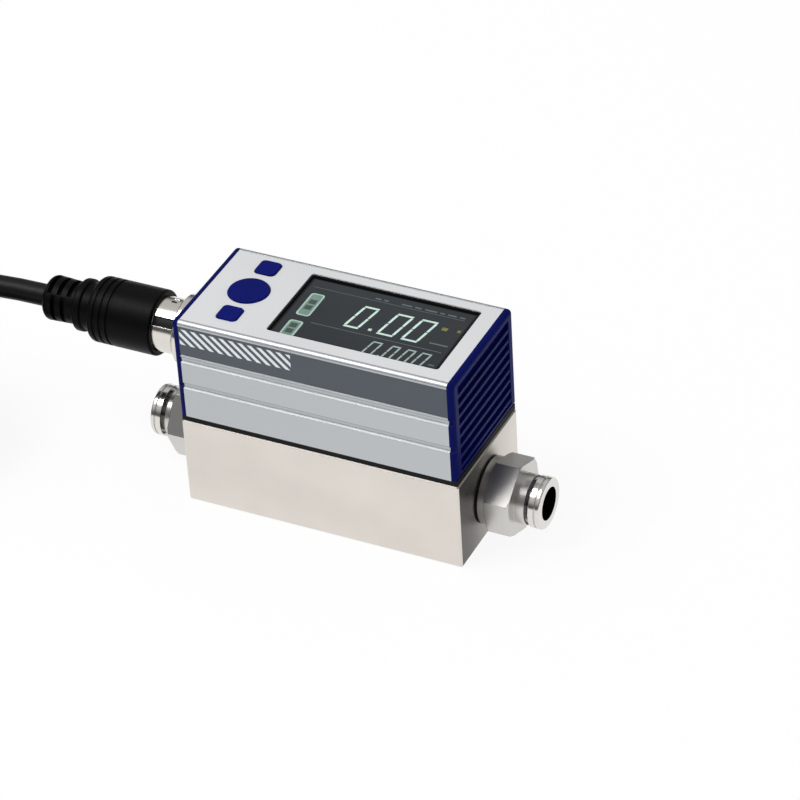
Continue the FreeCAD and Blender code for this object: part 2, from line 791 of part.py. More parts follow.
def draw_face_openings(sketch):
    """Openings for the display window and the three keys."""
    draw_rounded(sketch, DISPLAY_X, "Dims.display_offset_y", WINDOW_X, WINDOW_Y,
                 "Dims.window_corner")
    draw_circle(sketch, KEY_X, "Dims.key_enter_y", f"({KEY_ENTER_RADIUS} + Dims.key_gap)")
    reach = "(Dims.key_side / 2 + Dims.key_gap)"
    for y in (KEY_UP_Y, f"-{KEY_DOWN_Y}"):
        draw_rounded(sketch, KEY_X, y, reach, reach, "(Dims.key_corner + Dims.key_gap)")


def make_housing():
    """Hollow extrusion with side grooves, band recesses, board rails and face openings."""
    body = new_body("HousingProfile")
    section = sketch_on(body, "YZ_Plane", f"-{HOUSING_HALF}")
    draw_outline(section, both_sides(side_points() + lip_points()))
    roof = f"({ROOF_UNDER_Z} - {HOUSING_Z})"
    cavity = ([(CAVITY_HALF, "Dims.floor_wall")] + rail_points(MAIN_BOARD_Z)
              + rail_points(FRONT_BOARD_Z) + [(CAVITY_HALF, roof)])
    draw_outline(section, both_sides(cavity))
    pad(body, section, f"2 * {HOUSING_HALF}")
    half = number("Dims.housing_width / 2")
    top = number("Dims.housing_height")
    dress(body, "Fillet", lambda edge: edge_along_x(edge, half, top) or edge_along_x(edge, -half, top),
          "Dims.corner_radius")
    face = sketch_on(body, "XY_Plane", "Dims.housing_height")
    draw_face_openings(face)
    pocket(body, face, "Dims.label_recess + Dims.roof_wall + Dims.rail_gap")
    floor = sketch_on(body, "XY_Plane")
    draw_sensor_window(floor)
    draw_housing_holes(floor)
    pocket(body, floor, "Dims.floor_wall + Dims.rail_gap", True)
    place(body, z=HOUSING_Z)
    named(body, "housing_profile")


def make_housing_screws():
    """Four socket-head screws from the housing's floor into the block."""
    screw_set = []
    for index, (x, y) in enumerate(corners_of("Dims.housing_screw_spacing_x",
                                              "Dims.housing_screw_spacing_y")):
        shank = rod(f"ScrewShank{index}", "Dims.screw_radius",
                    "Dims.screw_depth + Dims.gasket_thickness + Dims.floor_wall",
                    (x, y, "Dims.block_height - Dims.screw_depth"))
        head = rod(f"ScrewHead{index}", "Dims.screw_head_radius", "Dims.screw_head_height",
                   (x, y, FLOOR_Z))
        socket = doc.addObject("Part::Prism", f"ScrewSocket{index}")
        socket.Polygon = 6
        bind(socket, Circumradius="Dims.screw_socket_radius", Height="Dims.screw_head_height")
        place(socket, x, y, f"{FLOOR_Z} + Dims.screw_head_height / 2")
        screw_set.append(cut(f"Screw{index}", fuse(f"ScrewBlank{index}", [shank, head]), [socket]))
    named(group("HousingScrews", screw_set), "housing_screws")


def make_end_cap(label, with_socket, turn):
    """Plastic cap with a finned panel and a spigot that plugs the extrusion."""
    body = new_body(label.title().replace("_", ""))
    rim = sketch_on(body, "YZ_Plane", HOUSING_HALF)
    draw_rectangle(rim, "-Dims.housing_width / 2", "0", "Dims.housing_width / 2",
                   "Dims.housing_height")
    pad(body, rim, "Dims.cap_flange")
    half = number("Dims.housing_width / 2")
    top = number("Dims.housing_height")
    dress(body, "Fillet", lambda edge: edge_along_x(edge, half, top) or edge_along_x(edge, -half, top),
          "Dims.corner_radius")
    face = number(BLOCK_HALF)
    dress(body, "Fillet",
          lambda edge: edge.BoundBox.XLength < SPLIT_TOLERANCE
          and abs(edge.BoundBox.XMin - face) < SPLIT_TOLERANCE, "Dims.cap_edge")
    grooves = sketch_on(body, "YZ_Plane", BLOCK_HALF)
    for bottom in ("Dims.lower_groove_bottom", "Dims.upper_groove_bottom"):
        corners = groove_points(bottom)
        draw_outline(grooves, corners)
        draw_outline(grooves, [(f"-{y}", z) for y, z in reversed(corners)])
    pocket(body, grooves, "Dims.cap_flange")
    reach = f"({CAVITY_HALF} - Dims.rail_depth - Dims.cap_gap)"
    low = "(Dims.floor_wall + Dims.cap_gap)"
    high = f"({ROOF_UNDER_Z} - {HOUSING_Z} - Dims.cap_gap)"
    spigot = sketch_on(body, "YZ_Plane", HOUSING_HALF)
    draw_rectangle(spigot, f"-{reach}", low, reach, high)
    pad(body, spigot, "Dims.cap_spigot", True)
    hollow = sketch_on(body, "YZ_Plane", f"{HOUSING_HALF} - Dims.cap_spigot")
    draw_rectangle(hollow, f"-({reach} - Dims.cap_spigot_wall)", f"({low} + Dims.cap_spigot_wall)",
                   f"({reach} - Dims.cap_spigot_wall)", f"({high} - Dims.cap_spigot_wall)")
    pocket(body, hollow, "Dims.cap_spigot - Dims.cap_plate", True)
    panel_side = "(Dims.housing_width / 2 - Dims.panel_side_margin)"
    panel_top = "(Dims.housing_height - Dims.panel_top_margin)"
    panel = sketch_on(body, "YZ_Plane", BLOCK_HALF)
    draw_rectangle(panel, f"-{panel_side}", "Dims.panel_bottom", panel_side, panel_top)
    pocket(body, panel, "Dims.panel_depth")
    fin = sketch_on(body, "YZ_Plane", f"{BLOCK_HALF} - Dims.panel_depth")
    draw_rectangle(fin, f"-{panel_side}", "Dims.fin_first", panel_side,
                   "Dims.fin_first + Dims.fin_thickness")
    fin_pad = pad(body, fin, "Dims.panel_depth - Dims.fin_drop")
    repeats = int(number(f"({panel_top} - Dims.fin_first - Dims.fin_thickness) / Dims.fin_pitch"))
    pattern(body, "LinearPattern", fin_pad, "Z_Axis", repeats + 1, f"{repeats} * Dims.fin_pitch")
    if with_socket:
        land = sketch_on(body, "YZ_Plane", f"{BLOCK_HALF} - Dims.panel_depth")
        draw_circle(land, "0", "Dims.socket_height", "Dims.socket_land_radius")
        pad(body, land, "Dims.panel_depth")
        hole = sketch_on(body, "YZ_Plane", BLOCK_HALF)
        draw_circle(hole, "0", "Dims.socket_height", "(Dims.socket_neck_radius + Dims.cap_gap)")
        pocket(body, hole)
    place(body, z=HOUSING_Z, turn=turn)
    named(body, label)


def make_face_label():
    """Thin sheet on the housing's top with the display and key openings."""
    body = new_body("FaceLabel")
    sketch = sketch_on(body, "XY_Plane")
    reach_x = f"({HOUSING_HALF} - Dims.label_end_gap)"
    reach_y = f"({LABEL_SIDE} - Dims.label_end_gap)"
    draw_rectangle(sketch, f"-{reach_x}", f"-{reach_y}", reach_x, reach_y)
    draw_face_openings(sketch)
    pad(body, sketch, "Dims.label_thickness")
    place(body, z=LABEL_Z)
    named(body, "face_label")


def make_side_band():
    """Dark strip in the front recess of the extrusion."""
    wall = "(Dims.housing_width / 2 - Dims.band_recess)"
    named(box("SideBandFront",
              (f"Dims.label_end_gap - {HOUSING_HALF}", f"-{wall} - Dims.label_thickness",
               f"{HOUSING_Z} + Dims.band_bottom + Dims.label_end_gap"),
              (f"2 * {HOUSING_HALF} - 2 * Dims.label_end_gap", "Dims.label_thickness",
               f"{BAND_TOP} - Dims.band_bottom - 2 * Dims.label_end_gap")),
          "side_band_front")


def make_display():
    """Window pane, its dark seal with a thin lining wall, and the display module under them."""
    rim_x = f"({WINDOW_X} - Dims.lens_gap)"
    rim_y = f"({WINDOW_Y} - Dims.lens_gap)"
    rim_corner = "(Dims.window_corner - Dims.lens_gap)"
    reach_x = f"({rim_x} - Dims.lining_thickness)"
    reach_y = f"({rim_y} - Dims.lining_thickness)"
    corner = f"({rim_corner} - Dims.lining_thickness)"
    lens = new_body("DisplayLens")
    pane = sketch_on(lens, "XY_Plane")
    draw_rounded(pane, "0", "0", reach_x, reach_y, corner)
    pad(lens, pane, "Dims.lens_thickness")
    place(lens, DISPLAY_X, "Dims.display_offset_y", LENS_Z)
    named(lens, "display_lens")

    seal = new_body("DisplaySeal")
    frame = sketch_on(seal, "XY_Plane")
    draw_rounded(frame, "0", "0", rim_x, rim_y, rim_corner)
    pad(seal, frame, "Dims.display_seal_thickness + Dims.lens_thickness + Dims.lens_drop"
                     " - Dims.lining_drop")
    nest = sketch_on(seal, "XY_Plane", "Dims.display_seal_thickness")
    draw_rounded(nest, "0", "0", reach_x, reach_y, corner)
    pocket(seal, nest, reverse=True)
    inner_x = f"({reach_x} - Dims.display_seal_width)"
    inner_y = f"({reach_y} - Dims.display_seal_width)"
    opening = sketch_on(seal, "XY_Plane", "Dims.display_seal_thickness")
    draw_rectangle(opening, f"-{inner_x}", f"-{inner_y}", inner_x, inner_y)
    pocket(seal, opening)
    place(seal, DISPLAY_X, "Dims.display_offset_y", MODULE_TOP_Z)
    named(seal, "display_seal")

    module = new_body("DisplayModule")
    case = sketch_on(module, "XY_Plane")
    half_x = f"({WINDOW_X} + Dims.module_border_x)"
    half_y = f"({WINDOW_Y} + Dims.module_border_y)"
    draw_rectangle(case, f"-{half_x}", f"-{half_y}", half_x, half_y)
    pad(module, case, "Dims.module_thickness")
    glass = sketch_on(module, "XY_Plane", "Dims.module_thickness")
    draw_rectangle(glass, f"-{inner_x}", f"-{inner_y}", inner_x, inner_y)
    pocket(module, glass, "Dims.module_recess")
    place(module, DISPLAY_X, "Dims.display_offset_y", FRONT_BOARD_TOP_Z)
    named(module, "display_module")


def make_boards():
    """Front board with the display and switches, main board with its chips, and the header."""
    half_width = f"({CAVITY_HALF} - Dims.rail_gap)"
    front_left = f"({KEY_X} - Dims.switch_side / 2 - Dims.board_margin)"
    named(box("FrontBoard", (front_left, f"-{half_width}", FRONT_BOARD_Z),
              (f"{BOARD_RIGHT} - {front_left}", f"2 * {half_width}", "Dims.board_thickness")),
          "front_board")
    main_left = ("(Dims.socket_tail + Dims.contact_tail + Dims.board_end_gap"
                 f" - {BLOCK_HALF})")
    board = new_body("MainBoard")
    card = sketch_on(board, "XY_Plane")
    draw_rectangle(card, main_left, f"-{half_width}", BOARD_RIGHT, half_width)
    pad(board, card, "Dims.board_thickness")
    chips = sketch_on(board, "XY_Plane", "Dims.board_thickness")
    draw_rectangle(chips, "-Dims.chip_length", "-Dims.chip_length / 2", "0", "Dims.chip_length / 2")
    draw_rectangle(chips, f"{BOARD_RIGHT} - Dims.chip_length", "0",
                   f"{BOARD_RIGHT} - Dims.chip_length / 2", "Dims.chip_length")
    pad(board, chips, "Dims.chip_height")
    place(board, z=MAIN_BOARD_Z)
    named(board, "main_board")
    header_z = f"({MAIN_BOARD_Z} + Dims.board_thickness)"
    named(box("BoardLink", ("Dims.board_link_x", "-Dims.board_link_y - Dims.board_link_width / 2",
                            header_z),
              ("Dims.board_link_length", "Dims.board_link_width", f"{FRONT_BOARD_Z} - {header_z}")),
          "board_link")


def make_key(label, y, half_side):
    """One key cap with a hidden flange; a round one where no side is given."""
    body = new_body(label.title().replace("_", ""))
    flange = sketch_on(body, "XY_Plane")
    stem = sketch_on(body, "XY_Plane")
    if half_side is None:
        draw_circle(flange, "0", "0", f"({KEY_ENTER_RADIUS} + Dims.key_lip)")
        draw_circle(stem, "0", "0", KEY_ENTER_RADIUS)
    else:
        lip = f"({half_side} + Dims.key_lip)"
        draw_rounded(flange, "0", "0", lip, lip, "(Dims.key_corner + Dims.key_lip)")
        draw_rounded(stem, "0", "0", half_side, half_side, "Dims.key_corner")
    pad(body, flange, "Dims.key_flange")
    height = (f"({LABEL_TOP_Z} + Dims.key_proud - {ROOF_UNDER_Z} + Dims.key_rest_gap"
              " + Dims.key_flange)")
    pad(body, stem, height)
    top = number(height)
    dress(body, "Fillet",
          lambda edge: edge.BoundBox.ZLength < SPLIT_TOLERANCE
          and abs(edge.BoundBox.ZMin - top) < SPLIT_TOLERANCE, "Dims.key_edge")
    place(body, KEY_X, y, f"{ROOF_UNDER_Z} - Dims.key_rest_gap - Dims.key_flange")
    named(body, f"key_{label}")


def make_switch(label, y):
    """Push switch on the front board and its plunger."""
    half = "Dims.switch_side / 2"
    height = (f"({ROOF_UNDER_Z} - Dims.key_rest_gap - Dims.key_flange - Dims.key_travel"
              f" - Dims.switch_gap - {FRONT_BOARD_TOP_Z})")
    case = box(f"SwitchCase{label}", (f"{KEY_X} - {half}", f"{y} - {half}", FRONT_BOARD_TOP_Z),
               ("Dims.switch_side", "Dims.switch_side", height))
    well = rod(f"SwitchWell{label}", "Dims.plunger_radius + Dims.fit_gap", height,
               (KEY_X, y, f"{FRONT_BOARD_TOP_Z} + Dims.switch_floor"))
    named(cut(f"Switch{label}", case, [well]), f"switch_{label}")
    foot = f"({FRONT_BOARD_TOP_Z} + Dims.switch_floor + Dims.key_travel + Dims.fit_gap)"
    crown = f"({ROOF_UNDER_Z} - 2 * Dims.key_rest_gap - Dims.key_flange)"
    named(rod(f"Plunger{label}", "Dims.plunger_radius", f"{crown} - {foot}", (KEY_X, y, foot)),
          f"plunger_{label}")


def make_keys():
    """The three keys and their switches."""
    for label, y, half_side in (("up", KEY_UP_Y, "(Dims.key_side / 2)"),
                                ("enter", "Dims.key_enter_y", None),
                                ("down", f"(-{KEY_DOWN_Y})", "(Dims.key_side / 2)")):
        make_key(label, y, half_side)
        make_switch(label, y)


# Places along a fitting, measured outwards from the block's end face.
COLLAR_START = "Dims.face_seal_thickness"
HEX_START = f"({COLLAR_START} + Dims.collar_thickness)"
HEX_END = f"({HEX_START} + Dims.hex_length)"
NOSE_END = f"({HEX_END} + Dims.nose_length)"
SEAL_END = "(Dims.cartridge_start + 2 * Dims.tube_seal_section + 2 * Dims.fit_gap)"
SUPPORT_END = f"({SEAL_END} + Dims.support_length)"
CLAW_END = f"({SUPPORT_END} + Dims.claw_thickness)"
COLLET_START = f"({CLAW_END} + Dims.collet_travel + Dims.claw_clearance)"
COLLET_FLANGE = f"({NOSE_END} + Dims.collet_gap)"
COLLET_END = f"({COLLET_FLANGE} + Dims.collet_flange_length)"


def make_fitting_body(side, hex_turn, turn):
    """Turned and milled body: threaded stud, collar, hexagon and nose with the cartridge bore."""
    corner = "(Dims.hex_across_flats / 2 / cos(30))"
    shoulder = f"({corner} - Dims.hex_chamfer)"
    body = turned(f"FittingBody{side}", [
        ("-Dims.stud_reach", "Dims.flow_radius"),
        ("-Dims.tube_seat", "Dims.flow_radius"),
        ("-Dims.tube_seat", "Dims.tube_radius"),
        ("Dims.cartridge_start", "Dims.tube_radius"),
        ("Dims.cartridge_start", "Dims.cartridge_radius"),
        (NOSE_END, "Dims.cartridge_radius"),
        (NOSE_END, "Dims.nose_radius"),
        (HEX_END, "Dims.nose_radius"),
        (HEX_END, shoulder),
        (f"({HEX_END} - Dims.hex_chamfer * 0.6)", corner),
        (f"({HEX_START} + Dims.hex_chamfer * 0.6)", corner),
        (HEX_START, shoulder),
        (HEX_START, "Dims.collar_radius"),
        (COLLAR_START, "Dims.collar_radius"),
        (COLLAR_START, "Dims.stud_radius"),
        ("-Dims.stud_reach", "Dims.stud_radius"),
    ])
    flat = sketch_on(body, "XY_Plane", "Dims.hex_across_flats / 2")
    draw_rectangle(flat, HEX_START, f"-{corner}", HEX_END, corner)
    pattern(body, "PolarPattern", pocket(body, flat, "Dims.hex_across_flats / 4", True), "X_Axis", 6)
    roll = Rotation(Vector(1, 0, 0), hex_turn)
    place(body, f"{turn[0]} * {BLOCK_HALF}", "0", "Dims.flow_height", turn=turn[1].multiply(roll))
    named(body, f"fitting_body_{side}")


def make_fitting_seals(side, sign, turn):
    """Face seal under the collar and the seal that grips the tube."""
    seal = turned(f"FaceSeal{side}", [
        ("0", "(Dims.stud_radius + Dims.fit_gap)"),
        (COLLAR_START, "(Dims.stud_radius + Dims.fit_gap)"),
        (COLLAR_START, "(Dims.face_seal_radius - Dims.face_seal_thickness / 4)"),
        (f"({COLLAR_START} / 2)", "Dims.face_seal_radius"),
        ("0", "(Dims.face_seal_radius - Dims.face_seal_thickness / 4)"),
    ])
    place(seal, f"{sign} * {BLOCK_HALF}", "0", "Dims.flow_height", turn=turn)
    named(seal, f"face_seal_{side}")
    ring = o_ring(f"TubeSeal{side}", "(Dims.cartridge_radius - Dims.fit_gap - Dims.tube_seal_section)",
                  "Dims.tube_seal_section",
                  (f"{sign} * ({BLOCK_HALF} + Dims.cartridge_start + Dims.tube_seal_section"
                   " + Dims.fit_gap)", "0", "Dims.flow_height"), turn=ALONG_X)
    named(ring, f"tube_seal_{side}")


def make_cartridge(side, sign, turn):
    """Support ring, toothed claw ring, guide ring and the release collet."""
    outer = "(Dims.cartridge_radius - Dims.fit_gap)"
    support = turned(f"SupportRing{side}", [
        (SEAL_END, "Dims.support_radius"),
        (f"({SUPPORT_END} - Dims.claw_thickness)", "Dims.support_radius"),
        (SUPPORT_END, "(Dims.support_radius + Dims.claw_thickness)"),
        (SUPPORT_END, outer),
        (SEAL_END, outer),
    ])
    claw = turned(f"ClawRing{side}", [
        (f"({SUPPORT_END} + Dims.fit_gap)", outer),
        (f"({SUPPORT_END} + Dims.fit_gap)", "(Dims.claw_tip_radius + Dims.claw_thickness)"),
        (f"({SUPPORT_END} - Dims.claw_thickness + 2 * Dims.fit_gap)",
         "(Dims.claw_tip_radius + Dims.fit_gap)"),
        (f"({SUPPORT_END} - Dims.fit_gap)", "Dims.claw_tip_radius"),
        (f"({CLAW_END} - Dims.fit_gap)", "(Dims.claw_tip_radius + 0.8 * Dims.claw_thickness)"),
        (f"({CLAW_END} - Dims.fit_gap)", outer),
    ])
    guide = turned(f"GuideRing{side}", [
        (CLAW_END, "Dims.guide_radius"),
        (NOSE_END, "Dims.guide_radius"),
        (NOSE_END, outer),
        (CLAW_END, outer),
    ])
    groove = f"({COLLET_FLANGE} + Dims.collet_flange_length / 2)"
    collet = turned(f"ReleaseCollet{side}", [
        (COLLET_START, "Dims.tube_radius"),
        (COLLET_END, "Dims.tube_radius"),
        (COLLET_END, "Dims.collet_flange_radius"),
        (f"({groove} + Dims.collet_step)", "Dims.collet_flange_radius"),
        (f"({groove} + Dims.collet_step)", "(Dims.collet_flange_radius - Dims.collet_step)"),
        (groove, "(Dims.collet_flange_radius - Dims.collet_step)"),
        (groove, "Dims.collet_flange_radius"),
        (COLLET_FLANGE, "Dims.collet_flange_radius"),
        (COLLET_FLANGE, "Dims.collet_neck_radius"),
        (f"({COLLET_START} + Dims.collet_step)", "Dims.collet_neck_radius"),
        (COLLET_START, "(Dims.collet_neck_radius - Dims.collet_step)"),
    ])
    end = number(COLLET_END)
    rim = number("Dims.collet_flange_radius")
    dress(collet, "Fillet", lambda edge: ring_edge(edge, end, rim), "Dims.collet_rim_round")
    for body, label in ((support, "support_ring"), (claw, "claw_ring"), (guide, "guide_ring"),
                        (collet, "release_collet")):
        place(body, f"{sign} * {BLOCK_HALF}", "0", "Dims.flow_height", turn=turn)
        named(body, f"{label}_{side}")


def make_fittings():
    """A push-in fitting at each end of the block."""
    for side, sign, hex_turn in (("outlet", 1, number("Dims.hex_turn_outlet")),
                                 ("inlet", -1, number("Dims.hex_turn_inlet"))):
        turn = Rotation() if sign > 0 else FLIP
        make_fitting_body(side, hex_turn, (sign, turn))
        make_fitting_seals(side, sign, turn)
        make_cartridge(side, sign, turn)


def make_socket():
    """Round signal socket: metal barrel, ring nut, insulator and contacts."""
    face = f"-{BLOCK_HALF}"
    shell = turned("SocketShell", [
        ("-Dims.socket_tail", "Dims.socket_bore_radius"),
        ("Dims.socket_reach", "Dims.socket_bore_radius"),
        ("Dims.socket_reach", "(Dims.socket_barrel_radius - Dims.block_edge)"),
        ("(Dims.socket_reach - Dims.block_edge)", "Dims.socket_barrel_radius"),
        ("0", "Dims.socket_barrel_radius"),
        ("0", "Dims.socket_neck_radius"),
        ("-Dims.socket_tail", "Dims.socket_neck_radius"),
    ])
    nut_face = "-(Dims.cap_flange + Dims.cap_plate)"
    nut = turned("SocketNut", [
        (f"({nut_face} - Dims.socket_nut_thickness)", "(Dims.socket_neck_radius + Dims.fit_gap)"),
        (nut_face, "(Dims.socket_neck_radius + Dims.fit_gap)"),
        (nut_face, "Dims.socket_nut_radius"),
        (f"({nut_face} - Dims.socket_nut_thickness + Dims.block_edge)", "Dims.socket_nut_radius"),
        (f"({nut_face} - Dims.socket_nut_thickness)",
         "(Dims.socket_nut_radius - Dims.block_edge)"),
    ])
    for body, label in ((shell, "socket_shell"), (nut, "socket_nut")):
        place(body, face, "0", SOCKET_Z, turn=FLIP)
        named(body, label)

    insert = new_body("SocketInsert")
    disc = sketch_on(insert, "YZ_Plane", "-Dims.socket_insert_drop")
    draw_circle(disc, "0", "0", "(Dims.socket_bore_radius - Dims.fit_gap)")
    pad(insert, disc, "Dims.socket_tail - Dims.socket_insert_drop", True)
    hole = sketch_on(insert, "YZ_Plane", "-Dims.socket_insert_drop")
    draw_circle(hole, "Dims.contact_circle", "0", "Dims.contact_hole_radius")
    pattern(insert, "PolarPattern", pocket(insert, hole), "X_Axis", CONTACT_COUNT)
    place(insert, face, "0", SOCKET_Z, turn=FLIP)
    named(insert, "socket_insert")

    contacts = []
    pins = []
    for index in range(CONTACT_COUNT):
        angle = 360 * index / CONTACT_COUNT
        y = f"(Dims.contact_circle * cos({angle}))"
        z = f"({SOCKET_Z} + Dims.contact_circle * sin({angle}))"
        tip = f"({face} + Dims.pin_reach)"
        contacts.append(rod(f"Contact{index}", "Dims.contact_radius",
                            "Dims.socket_tail + Dims.contact_tail - Dims.pin_reach - Dims.fit_gap",
                            (f"{tip} + Dims.fit_gap", y, z), turn=ALONG_X))
        pins.append(rod(f"Pin{index}", "Dims.contact_radius",
                        "Dims.pin_reach + Dims.plug_insert_start",
                        (f"{face} - Dims.plug_insert_start", y, z), turn=ALONG_X))
    named(group("SocketContacts", contacts), "socket_contacts")
    named(group("PlugPins", pins), "plug_pins")


def make_plug_shell():
    """Metal sleeve of the plug with its long slot and the small window on top."""
    inner = "(Dims.plug_shell_radius - Dims.plug_shell_wall)"
    end = "(Dims.plug_face + Dims.plug_shell_bury)"
    body = turned("PlugShell", [
        ("Dims.plug_shell_start", inner),
        (end, inner),
        (end, "Dims.plug_shell_radius"),
        ("Dims.plug_shell_start", "Dims.plug_shell_radius"),
    ])
    slot = sketch_on(body, "XY_Plane")
    draw_rectangle(slot, "(Dims.plug_shell_start + Dims.plug_window)", "-Dims.plug_slot_width / 2",
                   "(Dims.plug_face - Dims.fit_gap)", "Dims.plug_slot_width / 2")
    pocket(body, slot, "Dims.plug_shell_radius", True)
    window = sketch_on(body, "XZ_Plane")
    middle = "Dims.plug_window_height"
    draw_rectangle(window, "Dims.plug_window_start", f"({middle} - Dims.plug_window / 2)",
                   "(Dims.plug_window_start + Dims.plug_window)", f"({middle} + Dims.plug_window / 2)")
    pocket(body, window, "Dims.plug_shell_radius", True)
    roll = Rotation(Vector(1, 0, 0), PLUG_SLOT_TURN)
    place(body, f"-{BLOCK_HALF}", "0", SOCKET_Z, turn=FLIP.multiply(roll))
    named(body, "plug_shell")


def make_plug_body():
    """Moulded plug: grooved barrel, neck, bead and slotted strain relief."""
    end = "(Dims.plug_face + Dims.plug_shell_bury)"
    inner = "(Dims.plug_shell_radius + Dims.fit_gap)"
    barrel_end = "(Dims.plug_face + Dims.plug_barrel_length)"
    neck_end = f"({barrel_end} + Dims.neck_length)"
    bead_end = f"({neck_end} + Dims.bead_length)"
    profile = [("Dims.plug_face", inner), ("Dims.plug_face", "Dims.plug_radius")]
    for index in range(3):
        start = f"(Dims.plug_face + Dims.plug_ring_first + {index} * Dims.plug_ring_pitch)"
        stop = f"({start} + Dims.plug_ring_width)"
        floor = "(Dims.plug_radius - Dims.plug_ring_depth)"
        profile += [(start, "Dims.plug_radius"), (start, floor), (stop, floor),
                    (stop, "Dims.plug_radius")]
    profile += [
        (barrel_end, "Dims.plug_radius"),
        (barrel_end, "Dims.neck_radius"),
        (neck_end, "Dims.neck_radius"),
        (neck_end, "Dims.bead_radius"),
        (bead_end, "Dims.bead_radius"),
        (bead_end, "Dims.relief_radius"),
        (RELIEF_END, "Dims.relief_end_radius"),
        (RELIEF_END, "0"),
        (end, "0"),
        (end, inner),
    ]
    body = turned("PlugBody", profile)
    for place_x, radius, size in ((RELIEF_END, "Dims.relief_end_radius", "Dims.relief_round"),
                                  (bead_end, "Dims.bead_radius", "Dims.bead_round"),
                                  (neck_end, "Dims.bead_radius", "Dims.bead_round"),
                                  (barrel_end, "Dims.plug_radius", "Dims.plug_shoulder_round"),
                                  ("Dims.plug_face", "Dims.plug_radius", "Dims.plug_edge")):
        x = number(place_x)
        r = number(radius)
        dress(body, "Fillet", lambda edge: ring_edge(edge, x, r), size)
    for role, reverse, count, shift in (("XY_Plane", True, RELIEF_SLOTS, "0.5"),
                                        ("XZ_Plane", True, RELIEF_SLOTS - 1, "1")):
        slots = sketch_on(body, role, "Dims.relief_slot_core")
        for index in range(count):
            start = f"({bead_end} + ({index} + {shift}) * Dims.relief_slot_pitch)"
            draw_rectangle(slots, start, "-Dims.relief_slot_core",
                           f"({start} + Dims.relief_slot_width)", "Dims.relief_slot_core")
        cutter = pocket(body, slots, "Dims.relief_end_radius", reverse)
        pattern(body, "PolarPattern", cutter, "X_Axis", 2)
    place(body, f"-{BLOCK_HALF}", "0", SOCKET_Z, turn=FLIP)
    named(body, "plug_body")


def make_plug_insert():
    """Insulator that carries the pins inside the plug's sleeve."""
    radius = "Dims.plug_shell_radius - Dims.plug_shell_wall - Dims.fit_gap"
    length = "Dims.plug_face + Dims.plug_shell_bury - Dims.plug_insert_start"
    start = f"-{BLOCK_HALF} - Dims.plug_face - Dims.plug_shell_bury"
    named(rod("PlugInsert", radius, length, (start, "0", SOCKET_Z), turn=ALONG_X), "plug_insert")


def cable_path(points):
    """Straight runs joined by tangent arcs through a list of points, as one wire."""
    radii = []
    edges = []
    start = points[0]
    for before, corner, after in zip(points, points[1:], points[2:]):
        run_in = corner - before
        run_out = after - corner
        half_turn = run_in.getAngle(run_out) / 2
        reach = 0.45 * min(run_in.Length, run_out.Length)
        radii.append(reach / math.tan(half_turn))
        enter = corner - Vector(run_in).normalize() * reach
        leave = corner + Vector(run_out).normalize() * reach
        bisector = (Vector(run_out).normalize() - Vector(run_in).normalize()).normalize()
        sagitta = radii[-1] / math.cos(half_turn) - radii[-1]
        edges.append(Part.LineSegment(start, enter).toShape())
        edges.append(Part.Arc(enter, corner + bisector * sagitta, leave).toShape())
        start = leave
    edges.append(Part.LineSegment(start, points[-1]).toShape())
    print("cable bend radii", [round(radius, 1) for radius in radii])
    return Part.Wire(edges)


def make_cable():
    """The free run of the cable, from the strain relief to the hank."""
    radius = number("Dims.cable_radius")
    exit_x = -number(f"{BLOCK_HALF} + {RELIEF_END}")
    points = [Vector(exit_x, 0, number(SOCKET_Z))] + [Vector(*point) for point in CABLE_ROUTE]
    path = cable_path(points)
    profile = Part.Wire([Part.Circle(points[0], points[1] - points[0], radius).toShape()])
    tube = path.makePipeShell([profile], True, True)
    expected = math.pi * radius ** 2 * path.Length
    print("cable volume ratio", round(tube.Volume / expected, 4), "length", round(path.Length, 1))
    cable = doc.addObject("Part::Feature", "SignalCable")
    cable.Shape = tube
    named(cable, "signal_cable")


def oval(name, radius):
    """Upright prism of the hank's height on an oval of two runs and two half circles."""
    x, y = (str(part) for part in HANK_CENTRE)
    ends = [rod(f"{name}{side}", radius, "Dims.hank_height",
                (f"{x} {sign} Dims.hank_run / 2", y, "Dims.tie_thickness"))
            for side, sign in (("Near", "+"), ("Far", "-"))]
    runs = box(f"{name}Runs", (f"{x} - Dims.hank_run / 2", f"{y} - {radius}", "Dims.tie_thickness"),
               ("Dims.hank_run", f"2 * {radius}", "Dims.hank_height"))
    return fuse(name, ends + [runs])


def make_hank():
    """The put-away cable as one oval ring of stacked turns, and the tie that holds it."""
    outer = "(Dims.hank_fold_radius + Dims.cable_radius)"
    inner = "(Dims.hank_fold_radius - Dims.cable_radius)"
    named(cut("CableHank", oval("HankOuter", outer), [oval("HankEye", inner)]), "cable_hank")
    x, y = (str(part) for part in HANK_CENTRE)
    start_x = f"{x} - Dims.tie_shift - Dims.tie_width / 2"
    sheath = box("TieSheath", (start_x, f"{y} - {outer} - Dims.tie_thickness", "0"),
                 ("Dims.tie_width", f"2 * {outer} + 2 * Dims.tie_thickness",
                  "Dims.hank_height + 2 * Dims.tie_thickness"))
    bundle = box("TieBundle", (start_x, f"{y} - {outer}", "Dims.tie_thickness"),
                 ("Dims.tie_width", f"2 * {outer}", "Dims.hank_height"))
    named(cut("HankTie", sheath, [bundle]), "hank_tie")


